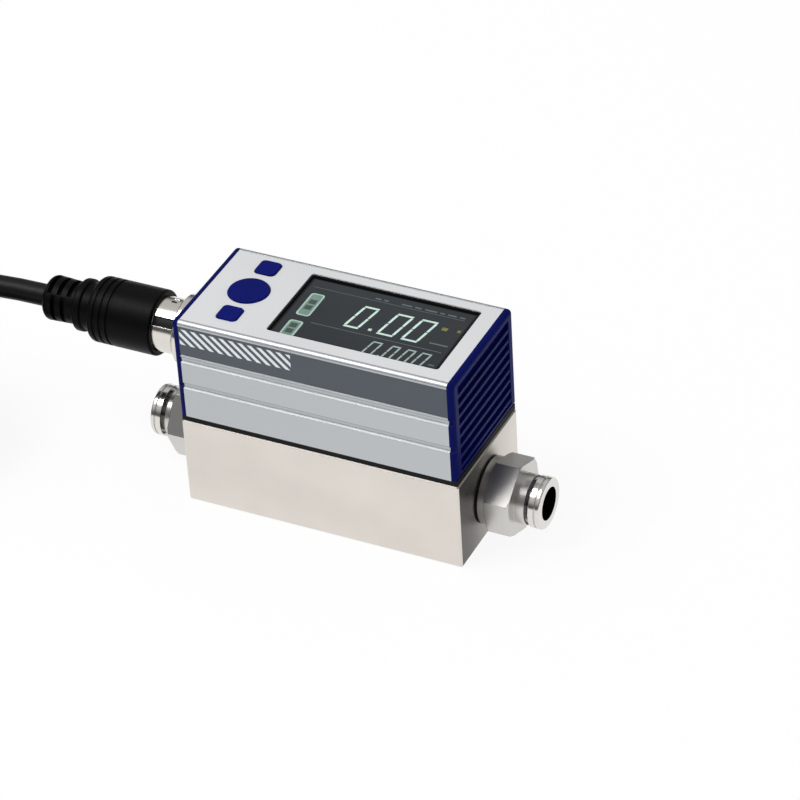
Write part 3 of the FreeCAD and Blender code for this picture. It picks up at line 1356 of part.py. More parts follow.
def make_cable_end():
    """The bare end inside the hank's eye: a short straight of cable and its stripped cores."""
    x, y = (str(part) for part in HANK_CENTRE)
    start = (f"{x} - Dims.tail_start", f"{y} - Dims.tail_offset",
             "(Dims.cable_radius + Dims.tie_thickness)")
    tail = rod("CableTail", "Dims.cable_radius", "Dims.tail_length", start, turn=ALONG_X)
    named(tail, "cable_tail")
    cores = []
    for index in range(CORE_COUNT):
        angle = 360 * index / CORE_COUNT
        place_x = f"{start[0]} + Dims.tail_length"
        place_y = f"{start[1]} + Dims.core_circle * cos({angle})"
        place_z = f"{start[2]} + Dims.core_circle * sin({angle})"
        cores.append(rod(f"Core{index}", "Dims.core_radius", "Dims.core_length",
                         (place_x, place_y, place_z), turn=ALONG_X))
    named(group("CableCores", cores), "cable_cores")


def check_and_export():
    """Stop on any failed object or bad shape, then write one STEP file for each piece."""
    doc.recompute()
    failed = [item.Name for item in doc.Objects
              if "Invalid" in item.State or "Error" in item.State]
    failed += [item.Label for item in nodes if item.Shape.isNull() or not item.Shape.isValid()]
    if failed:
        raise RuntimeError(f"failed objects: {sorted(set(failed))}")
    os.makedirs("parts", exist_ok=True)
    for item in nodes:
        item.Shape.exportStep(os.path.join("parts", f"{item.Label}.step"))
    print(len(nodes), "pieces written")


def main():
    """Build every piece of the flow meter and write it."""
    make_flow_block()
    make_laminar_element()
    make_screen("flow_screen_inlet", "-Dims.shoulder_reach")
    make_screen("flow_screen_outlet", "Dims.shoulder_reach - Dims.screen_thickness")
    make_retaining_sleeve()
    make_sensor()
    make_base_gasket()
    make_housing()
    make_housing_screws()
    make_end_cap("end_cap_right", False, Rotation())
    make_end_cap("end_cap_left", True, FLIP)
    make_face_label()
    make_side_band()
    make_display()
    make_boards()
    make_keys()
    make_fittings()
    make_socket()
    make_plug_shell()
    make_plug_insert()
    make_plug_body()
    make_cable()
    make_hank()
    make_cable_end()
    check_and_export()


main()
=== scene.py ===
"""Looks of the gas flow meter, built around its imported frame.

Everything is in metres in the frame of the part: the origin is the middle of the flow block's
underside, +X follows the gas flow and +Z points up to the display.
"""
import logging
import math
from abc import ABC, abstractmethod
from dataclasses import dataclass
from enum import Enum
from typing import Callable, Union

import bpy
from mathutils import Matrix, Vector


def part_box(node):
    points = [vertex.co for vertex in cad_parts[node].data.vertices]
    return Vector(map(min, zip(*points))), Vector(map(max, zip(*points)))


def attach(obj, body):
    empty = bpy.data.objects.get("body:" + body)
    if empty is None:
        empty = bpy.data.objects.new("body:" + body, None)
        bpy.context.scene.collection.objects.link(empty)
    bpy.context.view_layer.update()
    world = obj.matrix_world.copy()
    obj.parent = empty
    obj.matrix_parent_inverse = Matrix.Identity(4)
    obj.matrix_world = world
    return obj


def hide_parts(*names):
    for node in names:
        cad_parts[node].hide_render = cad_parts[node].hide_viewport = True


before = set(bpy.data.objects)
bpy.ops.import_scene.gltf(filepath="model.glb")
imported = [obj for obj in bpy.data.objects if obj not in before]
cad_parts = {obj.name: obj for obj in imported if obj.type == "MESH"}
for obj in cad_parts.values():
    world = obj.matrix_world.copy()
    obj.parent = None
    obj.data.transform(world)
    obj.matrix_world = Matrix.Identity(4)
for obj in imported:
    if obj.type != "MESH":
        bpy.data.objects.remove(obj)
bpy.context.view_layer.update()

MM = 0.001
METER = "meter"
FLOW_HEIGHT = 11.5 * MM
LIP_HEIGHT = 45.0 * MM
# Half width and ragged border of the painted shade on the flow block's outlet end face.
END_FADE = 17.0 * MM
END_RAGGED = 8.0 * MM
# Heights of the housing grooves' upper edges, under which a shadow line is painted.
GROOVE_TOPS = (35.0 * MM, 42.5 * MM)

LOG = logging.getLogger("flow_meter")

Colour = tuple[float, float, float]
Point = tuple[float, float, float]
Corners = list[tuple[float, float]]
Place = Callable[[float, float, float], Point]
Term = Union["Value", float]
Input = Union["Value", bpy.types.NodeSocket, float, Colour]


def scaled(colour: Colour, factor: float) -> Colour:
    """A colour made lighter or darker by a factor."""
    return tuple(min(1.0, channel * factor) for channel in colour)


class Grain(Enum):
    """Direction of the fine lines that a finish has, as noise scales along X, Y and Z."""

    ALONG_X = (60.0, 2600.0, 2600.0)
    ROUND_X = (5200.0, 90.0, 90.0)
    NONE = (900.0, 900.0, 900.0)


class Value:
    """A number socket that takes part in sums; each sum adds its Math node."""

    def __init__(self, graph: "Graph", socket: bpy.types.NodeSocket) -> None:
        """Wrap a socket of a graph."""
        self.graph = graph
        self.socket = socket

    def _math(self, operation: str, first: Term, second: Term) -> "Value":
        """Add a Math node on two values."""
        node = self.graph.node("ShaderNodeMath", {"operation": operation}, {0: first, 1: second})
        return Value(self.graph, node.outputs[0])

    def __add__(self, other: Term) -> "Value":
        """Sum."""
        return self._math("ADD", self, other)

    __radd__ = __add__

    def __sub__(self, other: Term) -> "Value":
        """Difference."""
        return self._math("SUBTRACT", self, other)

    def __rsub__(self, other: Term) -> "Value":
        """Difference with the socket second, so that 1 - mask works."""
        return self._math("SUBTRACT", other, self)

    def __mul__(self, other: Term) -> "Value":
        """Product."""
        return self._math("MULTIPLY", self, other)

    __rmul__ = __mul__

    def __abs__(self) -> "Value":
        """Size without sign."""
        return self._math("ABSOLUTE", self, 0.0)

    def above(self, limit: Term) -> "Value":
        """1 where the value is over a limit, else 0."""
        return self._math("GREATER_THAN", self, limit)

    def at_most(self, other: Term) -> "Value":
        """The smaller of two values."""
        return self._math("MINIMUM", self, other)

    def at_least(self, other: Term) -> "Value":
        """The larger of two values."""
        return self._math("MAXIMUM", self, other)

    def eased(self, low: float, high: float, start: float = 0.0, end: float = 1.0) -> "Value":
        """Map the range low to high smoothly onto start to end.

        Args:
            low: Value that gives start.
            high: Value that gives end.
            start: Result at low.
            end: Result at high.

        Returns:
            The mapped value.
        """
        node = self.graph.node("ShaderNodeMapRange", {"interpolation_type": "SMOOTHSTEP"},
                               {0: self, 1: low, 2: high, 3: start, 4: end})
        return Value(self.graph, node.outputs[0])


class Graph:
    """The nodes of one material or of the world."""

    def __init__(self, owner: bpy.types.Material | bpy.types.World) -> None:
        """Start empty.

        Args:
            owner: The material or the world that the nodes belong to.
        """
        owner.use_nodes = True
        self.owner = owner
        self.tree = owner.node_tree
        self.tree.nodes.clear()

    def node(self, kind: str, settings: dict[str, str | int] | None = None,
             inputs: dict[str | int, Input] | None = None) -> bpy.types.Node:
        """Add a node.

        Args:
            kind: The node's type name.
            settings: Its properties, set before its sockets.
            inputs: Values or links of its sockets, by name or place.

        Returns:
            The new node.
        """
        node = self.tree.nodes.new(kind)
        for key, value in (settings or {}).items():
            setattr(node, key, value)
        for key, value in (inputs or {}).items():
            self._feed(node.inputs[key], value)
        return node

    def _feed(self, socket: bpy.types.NodeSocket, value: Input) -> None:
        """Link a value to a socket, or set it there.

        Args:
            socket: The socket.
            value: What it gets: a link where there is one, else a number or a colour.
        """
        if isinstance(value, Value):
            value = value.socket
        if isinstance(value, bpy.types.NodeSocket):
            self.tree.links.new(value, socket)
        elif socket.type == "RGBA":
            socket.default_value = (*value, 1.0)
        else:
            socket.default_value = value

    def is_ray(self, kind: str) -> Value:
        """1 for rays of a kind, such as Camera or Glossy, else 0."""
        return Value(self, self.node("ShaderNodeLightPath").outputs[f"Is {kind} Ray"])

    def part(self, vector: bpy.types.NodeSocket, axis: int) -> Value:
        """One component of a vector."""
        node = self.node("ShaderNodeSeparateXYZ", None, {0: vector})
        return Value(self, node.outputs[axis])

    def place(self) -> bpy.types.NodeSocket:
        """The point on the piece, in metres."""
        return self.node("ShaderNodeTexCoord").outputs["Object"]

    def along(self, axis: int) -> Value:
        """One coordinate of the point on the piece, in metres."""
        return self.part(self.place(), axis)

    def facing(self, axis: int) -> Value:
        """One component of the surface's normal on the piece."""
        return self.part(self.node("ShaderNodeTexCoord").outputs["Normal"], axis)

    def noise(self, scales: Point, detail: float = 3.0, offset: float = 0.0) -> Value:
        """Noise from 0 to 1 with a scale per metre along each axis.

        Args:
            scales: Features per metre along X, Y and Z.
            detail: Octaves.
            offset: Shift that makes one noise differ from the next.

        Returns:
            The noise.
        """
        stretched = self.node("ShaderNodeVectorMath", {"operation": "MULTIPLY_ADD"},
                              {0: self.place(), 1: scales, 2: (offset, offset, offset)})
        node = self.node("ShaderNodeTexNoise", {"noise_dimensions": "3D"},
                         {"Vector": stretched.outputs[0], "Scale": 1.0, "Detail": detail,
                          "Roughness": 0.55})
        return Value(self, node.outputs[0])

    def blend(self, factor: Term, low: Input, high: Input) -> bpy.types.NodeSocket:
        """Mix two colours by a factor."""
        node = self.node("ShaderNodeMix", {"data_type": "RGBA"}, {0: factor, 6: low, 7: high})
        return node.outputs[2]

    def relief(self, height: Value, depth: float, edge: float = 0.0) -> bpy.types.NodeSocket:
        """Normal of a surface with fine relief and, where asked, softly rounded edges.

        Args:
            height: Relief from 0 to 1.
            depth: Depth of the relief in metres.
            edge: Radius of the soft edge in metres, or 0 for none.

        Returns:
            The normal.
        """
        inputs = {"Height": height, "Strength": 0.6, "Distance": depth}
        if edge > 0.0:
            inputs["Normal"] = self.soft_edge(edge)
        return self.node("ShaderNodeBump", None, inputs).outputs[0]

    def soft_edge(self, radius: float) -> bpy.types.NodeSocket:
        """Normal that rounds sharp edges by a radius in metres."""
        return self.node("ShaderNodeBevel", {"samples": 6}, {"Radius": radius}).outputs[0]

    def along_edges(self, radius: float) -> Value:
        """Mask of the sharp edges.

        Args:
            radius: Distance in metres within which it fades out.

        Returns:
            1 on an edge, 0 away from it.
        """
        true_normal = self.node("ShaderNodeNewGeometry").outputs["Normal"]
        node = self.node("ShaderNodeVectorMath", {"operation": "DOT_PRODUCT"},
                         {0: self.soft_edge(radius), 1: true_normal})
        return (1.0 - Value(self, node.outputs["Value"])).eased(0.01, 0.15)

    def finish(self, **sockets: Input) -> bpy.types.Material:
        """Close the material with one surface shader.

        Args:
            **sockets: Values of the shader's sockets, with underscores for spaces.

        Returns:
            The material.
        """
        inputs = {name.replace("_", " "): value for name, value in sockets.items()}
        shader = self.node("ShaderNodeBsdfPrincipled", None, inputs)
        self.node("ShaderNodeOutputMaterial", None, {0: shader.outputs[0]})
        return self.owner


class Finish(ABC):
    """What a surface is made of."""

    name: str

    def start(self) -> Graph:
        """Empty graph of a new material."""
        return Graph(bpy.data.materials.new(self.name))

    @abstractmethod
    def make(self) -> bpy.types.Material:
        """Build the material."""


@dataclass(frozen=True)
class Metal(Finish):
    """Ground, turned, drawn or plated metal with fine lines and a slight cloudiness, and where
    asked, painted shade on an end face, on slopes, under grooves and in bores.
    """

    name: str
    colour: Colour
    roughness: float = 0.3
    grain: Grain = Grain.ALONG_X
    contrast: float = 0.06
    spread: float = 0.08
    edge: float = 0.15 * MM
    depth: float = 0.004 * MM
    # Factor of the painted shade on the outlet end face; 1 paints none.
    painted_end_shade: float = 1.0
    # Factor of the painted shade on upward sloping faces; 1 paints none.
    painted_slope_shade: float = 1.0
    core: float = 0.0
    core_shade: float = 0.03
    core_faces: bool = False
    line_share: float = 0.55
    # Heights of groove edges that get a painted shadow line below them, and that line's factor.
    groove_tops: tuple[float, ...] = ()
    painted_groove_shadow: float = 0.42

    def _core_mask(self, graph: Graph) -> Value:
        """Find what lies close round the flow axis, where hardly any light gets in.

        Args:
            graph: The material's graph.

        Returns:
            1 inside the core's radius, with its end faces where these are asked for.
        """
        across = graph.along(1)
        up = graph.along(2) - FLOW_HEIGHT
        mask = 1.0 - (across * across + up * up).above(self.core ** 2)
        if self.core_faces:
            return mask
        return mask * (1.0 - abs(graph.facing(0)).above(0.6))

    def _paint_end_shade(self, graph: Graph, colour: Input, cloud: Value) -> Input:
        """Paint shade on the end face at the outlet, darker towards the front: a painted dark
        reflection and shade.

        Args:
            graph: The material's graph.
            colour: Colour so far.
            cloud: Slow noise that bends the border.

        Returns:
            The new colour.
        """
        across = graph.along(1) + (cloud - 0.5) * END_RAGGED
        depth = across.eased(-END_FADE, END_FADE)
        faded = graph.blend(depth, scaled(self.colour, self.painted_end_shade), colour)
        return graph.blend(graph.facing(0).eased(0.7, 0.95), colour, faded)

    def _paint_slope_shade(self, graph: Graph, colour: Input) -> Input:
        """Paint shade on the faces that slope upwards below the housing's lip, which dims their
        highlights and stands in for darker reflections.

        Args:
            graph: The material's graph.
            colour: Colour so far.

        Returns:
            The new colour.
        """
        slope = graph.facing(2)
        mask = slope.eased(0.4, 0.6) - slope.eased(0.9, 0.97)
        low = 1.0 - graph.along(2).above(LIP_HEIGHT)
        return graph.blend(mask * low, colour, scaled(self.colour, self.painted_slope_shade))

    def _paint_groove_shadow(self, graph: Graph, colour: Input, top: float) -> Input:
        """Paint the thin shadow line under a groove's upper edge.

        Args:
            graph: The material's graph.
            colour: Colour so far.
            top: Height of that edge in metres.

        Returns:
            The new colour.
        """
        below = top - graph.along(2)
        line = below.eased(-0.1 * MM, 0.0) * below.eased(0.35 * MM, 0.6 * MM, 1.0, 0.0)
        sides = 1.0 - abs(graph.facing(0)).above(0.6)
        return graph.blend(line * sides, colour, scaled(self.colour, self.painted_groove_shadow))

    def make(self) -> bpy.types.Material:
        """Build the material.

        Returns:
            The material.
        """
        graph = self.start()
        lines = graph.noise(self.grain.value, 4.0)
        cloud = graph.noise((55.0, 55.0, 70.0), 2.0, 7.3)
        tone = (lines * self.line_share + cloud * (1.0 - self.line_share)).eased(0.25, 0.75)
        colour = graph.blend(tone, scaled(self.colour, 1.0 - self.contrast),
                             scaled(self.colour, 1.0 + self.contrast))
        # Painted shade on the outlet end face.
        if self.painted_end_shade < 1.0:
            colour = self._paint_end_shade(graph, colour, cloud)
        # Painted shade on upward sloping faces.
        if self.painted_slope_shade < 1.0:
            colour = self._paint_slope_shade(graph, colour)
        # Painted shadow lines under the grooves.
        for top in self.groove_tops:
            colour = self._paint_groove_shadow(graph, colour, top)
        if self.core > 0.0:
            colour = graph.blend(self._core_mask(graph), colour,
                                 scaled(self.colour, self.core_shade))
        rough = (lines - 0.5) * self.spread + self.roughness + (cloud - 0.5) * 0.06
        return graph.finish(Base_Color=colour, Metallic=1.0, Roughness=rough,
                            Normal=graph.relief(lines, self.depth, self.edge))


@dataclass(frozen=True)
class Moulding(Finish):
    """Moulded plastic or rubber with a fine eroded texture and, where asked, a painted highlight
    along its edges.
    """

    name: str
    colour: Colour
    roughness: float = 0.42
    texture: float = 1500.0
    depth: float = 0.012 * MM
    edge: float = 0.12 * MM
    specular: float = 0.5
    # Colour of the painted highlight along the sharp edges, or None for none.
    painted_edge_highlight: Colour | None = None

    def make(self) -> bpy.types.Material:
        """Build the material.

        Returns:
            The material.
        """
        graph = self.start()
        grain = graph.noise((self.texture,) * 3, 2.0)
        cloud = graph.noise((70.0, 70.0, 70.0), 2.0, 3.1)
        colour = graph.blend(cloud.eased(0.3, 0.7), scaled(self.colour, 0.88),
                             scaled(self.colour, 1.12))
        # Painted highlight: a paler colour along the sharp edges, broken up by the grain, in place
        # of their glints.
        if self.painted_edge_highlight is not None:
            highlight_mask = graph.along_edges(2.0 * self.edge) * grain.eased(0.2, 0.5, 0.6, 1.0)
            colour = graph.blend(highlight_mask, colour, self.painted_edge_highlight)
        rough = (grain - 0.5) * 0.12 + (cloud - 0.5) * 0.08 + self.roughness
        return graph.finish(Base_Color=colour, Roughness=rough, IOR=1.46,
                            Specular_IOR_Level=self.specular,
                            Normal=graph.relief(grain, self.depth, self.edge))


@dataclass(frozen=True)
class Film(Finish):
    """Printed face film with a very fine satin sparkle."""

    name: str
    colour: Colour
    roughness: float = 0.4

    def make(self) -> bpy.types.Material:
        """Build the material.

        Returns:
            The material.
        """
        graph = self.start()
        sparkle = graph.noise((2600.0, 2600.0, 2600.0), 2.0)
        cloud = graph.noise((26.0, 40.0, 40.0), 1.0, 5.7)
        tone = (sparkle * 0.4 + cloud * 0.6).eased(0.3, 0.7)
        colour = graph.blend(tone, scaled(self.colour, 0.965), scaled(self.colour, 1.03))
        rough = (sparkle - 0.5) * 0.14 + self.roughness
        return graph.finish(Base_Color=colour, Roughness=rough,
                            Normal=graph.relief(sparkle, 0.003 * MM))


@dataclass(frozen=True)
class Screen(Finish):
    """Dark bonded display pane: a slate picture area inside a near-black border."""

    name: str
    picture: Colour
    border: Colour
    centre: tuple[float, float]
    half: tuple[float, float]

    def make(self) -> bpy.types.Material:
        """Build the material.

        Returns:
            The material.
        """
        graph = self.start()
        across = self.half[0] - abs(graph.along(0) - self.centre[0])
        up = self.half[1] - abs(graph.along(1) - self.centre[1])
        inside = across.at_most(up).eased(0.0, 0.5 * MM)
        haze = graph.noise((30.0, 45.0, 45.0), 2.0, 1.9).eased(0.3, 0.7)
        lit = graph.blend(haze, scaled(self.picture, 0.9), scaled(self.picture, 1.12))
        colour = graph.blend(inside, self.border, lit)
        smear = graph.noise((90.0, 60.0, 60.0), 3.0, 4.4)
        return graph.finish(Base_Color=colour, Roughness=smear * 0.06 + 0.09, IOR=1.5,
                            Specular_IOR_Level=0.12)


@dataclass(frozen=True)
class Lit(Finish):
    """A lit mark on the display, with a slightly uneven glow."""

    name: str
    colour: Colour
    glow: float = 0.25

    def make(self) -> bpy.types.Material:
        """Build the material.

        Returns:
            The material.
        """
        graph = self.start()
        uneven = graph.noise((400.0, 400.0, 400.0), 2.0, 2.2).eased(0.3, 0.7)
        colour = graph.blend(uneven, scaled(self.colour, 0.86), self.colour)
        return graph.finish(Base_Color=colour, Roughness=0.35, Emission_Color=colour,
                            Emission_Strength=self.glow)


@dataclass(frozen=True)
class Board(Finish):
    """Circuit board: green mask with copper tracks showing faintly through it."""

    name: str
    mask: Colour
    track: Colour

    def make(self) -> bpy.types.Material:
        """Build the material.

        Returns:
            The material.
        """
        graph = self.start()
        tracks = graph.noise((320.0, 90.0, 320.0), 1.0, 8.8).eased(0.5, 0.53)
        colour = graph.blend(tracks, self.mask, self.track)
        return graph.finish(Base_Color=colour, Roughness=0.4 - tracks * 0.08, Coat_Weight=0.25,
                            Normal=graph.relief(tracks, 0.02 * MM))


@dataclass(frozen=True)
class CoreColours(Finish):
    """Insulation of the separate cores, a colour for each side of the bundle."""

    name: str
    centre: tuple[float, float]

    def make(self) -> bpy.types.Material:
        """Build the material.

        Returns:
            The material.
        """
        graph = self.start()
        back = (graph.along(1) - self.centre[0]).above(0.0)
        high = (graph.along(2) - self.centre[1]).above(0.0)
        top = graph.blend(back, (0.30, 0.09, 0.02), (0.02, 0.08, 0.42))
        low = graph.blend(back, (0.55, 0.53, 0.50), (0.45, 0.30, 0.02))
        sheen = graph.noise((500.0, 500.0, 500.0), 2.0)
        return graph.finish(Base_Color=graph.blend(high, low, top), Roughness=sheen * 0.1 + 0.35)


# Painted shade: the steel's outlet end face darkens towards the front, and its upward slopes are
# darkened.
STEEL = Metal("ground_stainless", (0.745, 0.70, 0.65), roughness=0.36, contrast=0.05,
              edge=0.08 * MM, depth=0.002 * MM, painted_end_shade=0.14, painted_slope_shade=0.6, line_share=0.25)
# Painted shade on upward sloping faces and in the bore.
FITTING_STEEL = Metal("turned_stainless", (0.62, 0.605, 0.585), grain=Grain.ROUND_X, contrast=0.05,
                      edge=0.2 * MM, depth=0.003 * MM, painted_slope_shade=0.55, core=6.0 * MM,
                      core_faces=True)
COLLET_STEEL = Metal("collet_stainless", (0.74, 0.72, 0.69), roughness=0.18, grain=Grain.ROUND_X,
                     contrast=0.05, edge=0.2 * MM, depth=0.003 * MM, core=5.2 * MM,
                     core_shade=0.2)
INNER_STEEL = Metal("inner_stainless", (0.66, 0.65, 0.63), roughness=0.26, grain=Grain.ROUND_X)
SCREW_STEEL = Metal("screw_steel", (0.5, 0.49, 0.47), grain=Grain.NONE)
NICKEL = Metal("nickel_plate", (0.73, 0.70, 0.65), roughness=0.18, grain=Grain.ROUND_X,
               contrast=0.04, spread=0.05, depth=0.002 * MM)
GOLD = Metal("contact_gold", (0.83, 0.58, 0.2), roughness=0.22, grain=Grain.NONE)
# Painted shade on upward sloping faces, and painted shadow lines under the grooves.
ALUMINIUM = Metal("drawn_aluminium", (0.54, 0.562, 0.58), roughness=0.44, contrast=0.02,
                  spread=0.05, edge=0.14 * MM, depth=0.0015 * MM, painted_slope_shade=0.62,
                  groove_tops=GROOVE_TOPS)
BLUE = Moulding("blue_moulding", (0.0022, 0.0058, 0.125), roughness=0.4, specular=0.05)
# The caps' edges hold a painted highlight in a paler blue.
CAP_BLUE = Moulding("cap_moulding", (0.0018, 0.0045, 0.085), roughness=0.4, specular=0.04,
                    painted_edge_highlight=(0.02, 0.028, 0.15))
BLACK = Moulding("black_moulding", (0.006, 0.006, 0.007), roughness=0.45, specular=0.3)
PLUG_BLACK = Moulding("plug_moulding", (0.002, 0.002, 0.0022), roughness=0.4, texture=1100.0,
                      depth=0.01 * MM, edge=0.2 * MM, specular=0.08)
JACKET = Moulding("cable_jacket", (0.0035, 0.0035, 0.004), texture=1400.0, specular=0.22)
RUBBER = Moulding("seal_rubber", (0.005, 0.005, 0.005), roughness=0.62, texture=1800.0,
                  specular=0.2)
TIE = Moulding("tie_rubber", (0.02, 0.02, 0.022), roughness=0.6, texture=900.0, depth=0.05 * MM)
LABEL = Film("face_film", (0.62, 0.627, 0.638), roughness=0.45)
BAND = Film("band_film", (0.058, 0.071, 0.088))
HATCH = Film("band_print", (0.74, 0.78, 0.82), roughness=0.45)
SCREEN = Screen("display_pane", picture=(0.028, 0.033, 0.038), border=(0.003, 0.004, 0.005),
                centre=(8.2 * MM, 0.5 * MM), half=(21.0 * MM, 11.4 * MM))
FIGURES = Lit("figure_mint", (0.50, 0.65, 0.57), glow=0.25)
SMALL_FIGURES = Lit("small_figure_mint", (0.30, 0.39, 0.35), glow=0.15)
BADGE_RIMS = Lit("badge_rim", (0.34, 0.48, 0.41), glow=0.14)
BADGES = Lit("badge_green", (0.15, 0.24, 0.20), glow=0.08)
BADGE_MARKS = Lit("badge_mark", (0.045, 0.075, 0.065), glow=0.0)
FAINT = Lit("faint_line", (0.10, 0.125, 0.13), glow=0.05)
AMBER = Lit("amber_mark", (0.16, 0.165, 0.04), glow=0.15)
GREEN_BOARD = Board("circuit_board", mask=(0.008, 0.09, 0.03), track=(0.02, 0.16, 0.055))


def dress(node: str, finish: Finish | bpy.types.Material) -> None:
    """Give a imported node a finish.

    Args:
        node: Name of the node.
        finish: A finish or a material that is already made.
    """
    material = finish if isinstance(finish, bpy.types.Material) else finish.make()
    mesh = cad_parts[node].data
    mesh.materials.clear()
    mesh.materials.append(material)
    LOG.info("dressed %s with %s", node, material.name)


def dress_all(nodes: tuple[str, ...], finish: Finish) -> None:
    """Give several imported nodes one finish.

    Args:
        nodes: Names of the nodes.
        finish: Their finish, made once.
    """
    material = finish.make()
    for node in nodes:
        dress(node, material)


def solid_plates(name: str, outlines: list[Corners], place: Place, thickness: float,
                 finish: Finish) -> bpy.types.Object:
    """One mesh of thin flat plates.

    Args:
        name: Name of the piece.
        outlines: Corner lists in the plates' own plane, counter-clockwise.
        place: Function from plane coordinates and height to a point in the frame.
        thickness: Thickness of the plates in metres.
        finish: The plates' finish.

    Returns:
        The piece.
    """
    verts: list[Point] = []
    faces: list[tuple[int, ...]] = []
    for outline in outlines:
        first = len(verts)
        count = len(outline)
        verts += [place(u, v, 0.0) for u, v in outline]
        verts += [place(u, v, thickness) for u, v in outline]
        faces.append(tuple(first + i for i in reversed(range(count))))
        faces.append(tuple(first + count + i for i in range(count)))
        for i in range(count):
            j = (i + 1) % count
            faces.append((first + i, first + j, first + count + j, first + count + i))
    mesh = bpy.data.meshes.new(name)
    mesh.from_pydata(verts, [], faces)
    mesh.materials.append(finish.make())
    piece = bpy.data.objects.new(name, mesh)
    bpy.context.scene.collection.objects.link(piece)
    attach(piece, METER)
    LOG.info("built %s from %d plates", name, len(outlines))
    return piece


@dataclass
class Studio:
    """Camera at the photograph's angle, pale floor, world and lamp."""

    camera_place: Point = (0.3475, -0.6398, 0.5613)
    azimuth: float = 27.54
    elevation: float = 36.29
    roll: float = -3.68
    lens: float = 172.72
    floor_size: float = 6.0
    floor_drop: float = 0.02 * MM
    floor_paint: Colour = (0.9, 0.9, 0.9)
    floor_glow: float = 0.9
    white: Colour = (1.0, 1.0, 1.0)
    world_light: float = 0.7
    gloss_light: tuple[float, float] = (0.05, 0.6)
    lamp_place: Point = (-0.45, -0.35, 1.05)
    lamp_aim: Point = (0.0, 0.0, 0.03)
    lamp_size: float = 0.6
    lamp_power: float = 7.0

    def camera(self) -> None:
        """Create the camera and make it the scene's."""
        azimuth = math.radians(self.azimuth)
        elevation = math.radians(self.elevation)
        roll = math.radians(self.roll)
        back = Vector((math.sin(azimuth) * math.cos(elevation),
                       -math.cos(azimuth) * math.cos(elevation), math.sin(elevation)))
        level = Vector((math.cos(azimuth), math.sin(azimuth), 0.0))
        upright = back.cross(level)
        right = math.cos(roll) * level + math.sin(roll) * upright
        up = math.cos(roll) * upright - math.sin(roll) * level
        data = bpy.data.cameras.new("view_camera")
        data.lens = self.lens
        data.sensor_width = 36.0
        data.clip_start = 0.01
        data.clip_end = 20.0
        camera = bpy.data.objects.new("view_camera", data)
        turn = Matrix((right, up, back)).transposed().to_4x4()
        camera.matrix_world = Matrix.Translation(self.camera_place) @ turn
        bpy.context.scene.collection.objects.link(camera)
        bpy.context.scene.camera = camera

    def floor(self) -> None:
        """Lay the pale floor, which shows white to the lens and to gloss and keeps the shadow."""
        half = self.floor_size / 2
        mesh = bpy.data.meshes.new("studio_floor")
        mesh.from_pydata([(-half, -half, 0), (half, -half, 0), (half, half, 0), (-half, half, 0)],
                         [], [(0, 1, 2, 3)])
        floor = bpy.data.objects.new("studio_floor", mesh)
        floor.location.z = -self.floor_drop
        bpy.context.scene.collection.objects.link(floor)
        graph = Graph(bpy.data.materials.new("floor_paint"))
        seen = graph.is_ray("Camera").at_least(graph.is_ray("Glossy")).at_least(
            graph.is_ray("Transmission"))
        paint = graph.node("ShaderNodeBsdfDiffuse", None, {"Color": self.floor_paint})
        glow = graph.node("ShaderNodeEmission", None, {"Color": self.white, "Strength": 1.0})
        mixed = graph.node("ShaderNodeMixShader", None,
                           {0: seen * self.floor_glow, 1: paint.outputs[0], 2: glow.outputs[0]})
        graph.node("ShaderNodeOutputMaterial", None, {0: mixed.outputs[0]})
        mesh.materials.append(graph.owner)

    def world(self) -> None:
        """Set the world: grey for soft light, white where it is seen, brighter above in gloss."""
        world = bpy.data.worlds.new("studio_world")
        bpy.context.scene.world = world
        graph = Graph(world)
        direction = graph.node("ShaderNodeTexCoord").outputs["Generated"]
        above = graph.part(direction, 2).eased(0.1, 0.6, *self.gloss_light)
        soft = graph.is_ray("Glossy") * (above - self.world_light) + self.world_light
        seen = graph.is_ray("Camera").at_least(graph.is_ray("Transmission"))
        light = graph.node("ShaderNodeBackground", None,
                           {"Color": self.white, "Strength": seen * (1.0 - soft) + soft})
        graph.node("ShaderNodeOutputWorld", None, {0: light.outputs[0]})

    def lamp(self) -> None:
        """Hang the square soft lamp that shines at the meter."""
        data = bpy.data.lights.new("key_lamp", "AREA")
        data.shape = "SQUARE"
        data.size = self.lamp_size
        data.energy = self.lamp_power
        lamp = bpy.data.objects.new("key_lamp", data)
        lamp.location = self.lamp_place
        aim = Vector(self.lamp_aim) - Vector(self.lamp_place)
        lamp.rotation_euler = aim.to_track_quat("-Z", "Y").to_euler()
        bpy.context.scene.collection.objects.link(lamp)

    def build(self) -> None:
        """Set up floor, world, lamp and view transform; the camera comes earlier."""
        self.floor()
        self.world()
        self.lamp()
        bpy.context.scene.view_settings.view_transform = "Standard"
        LOG.info("studio ready")


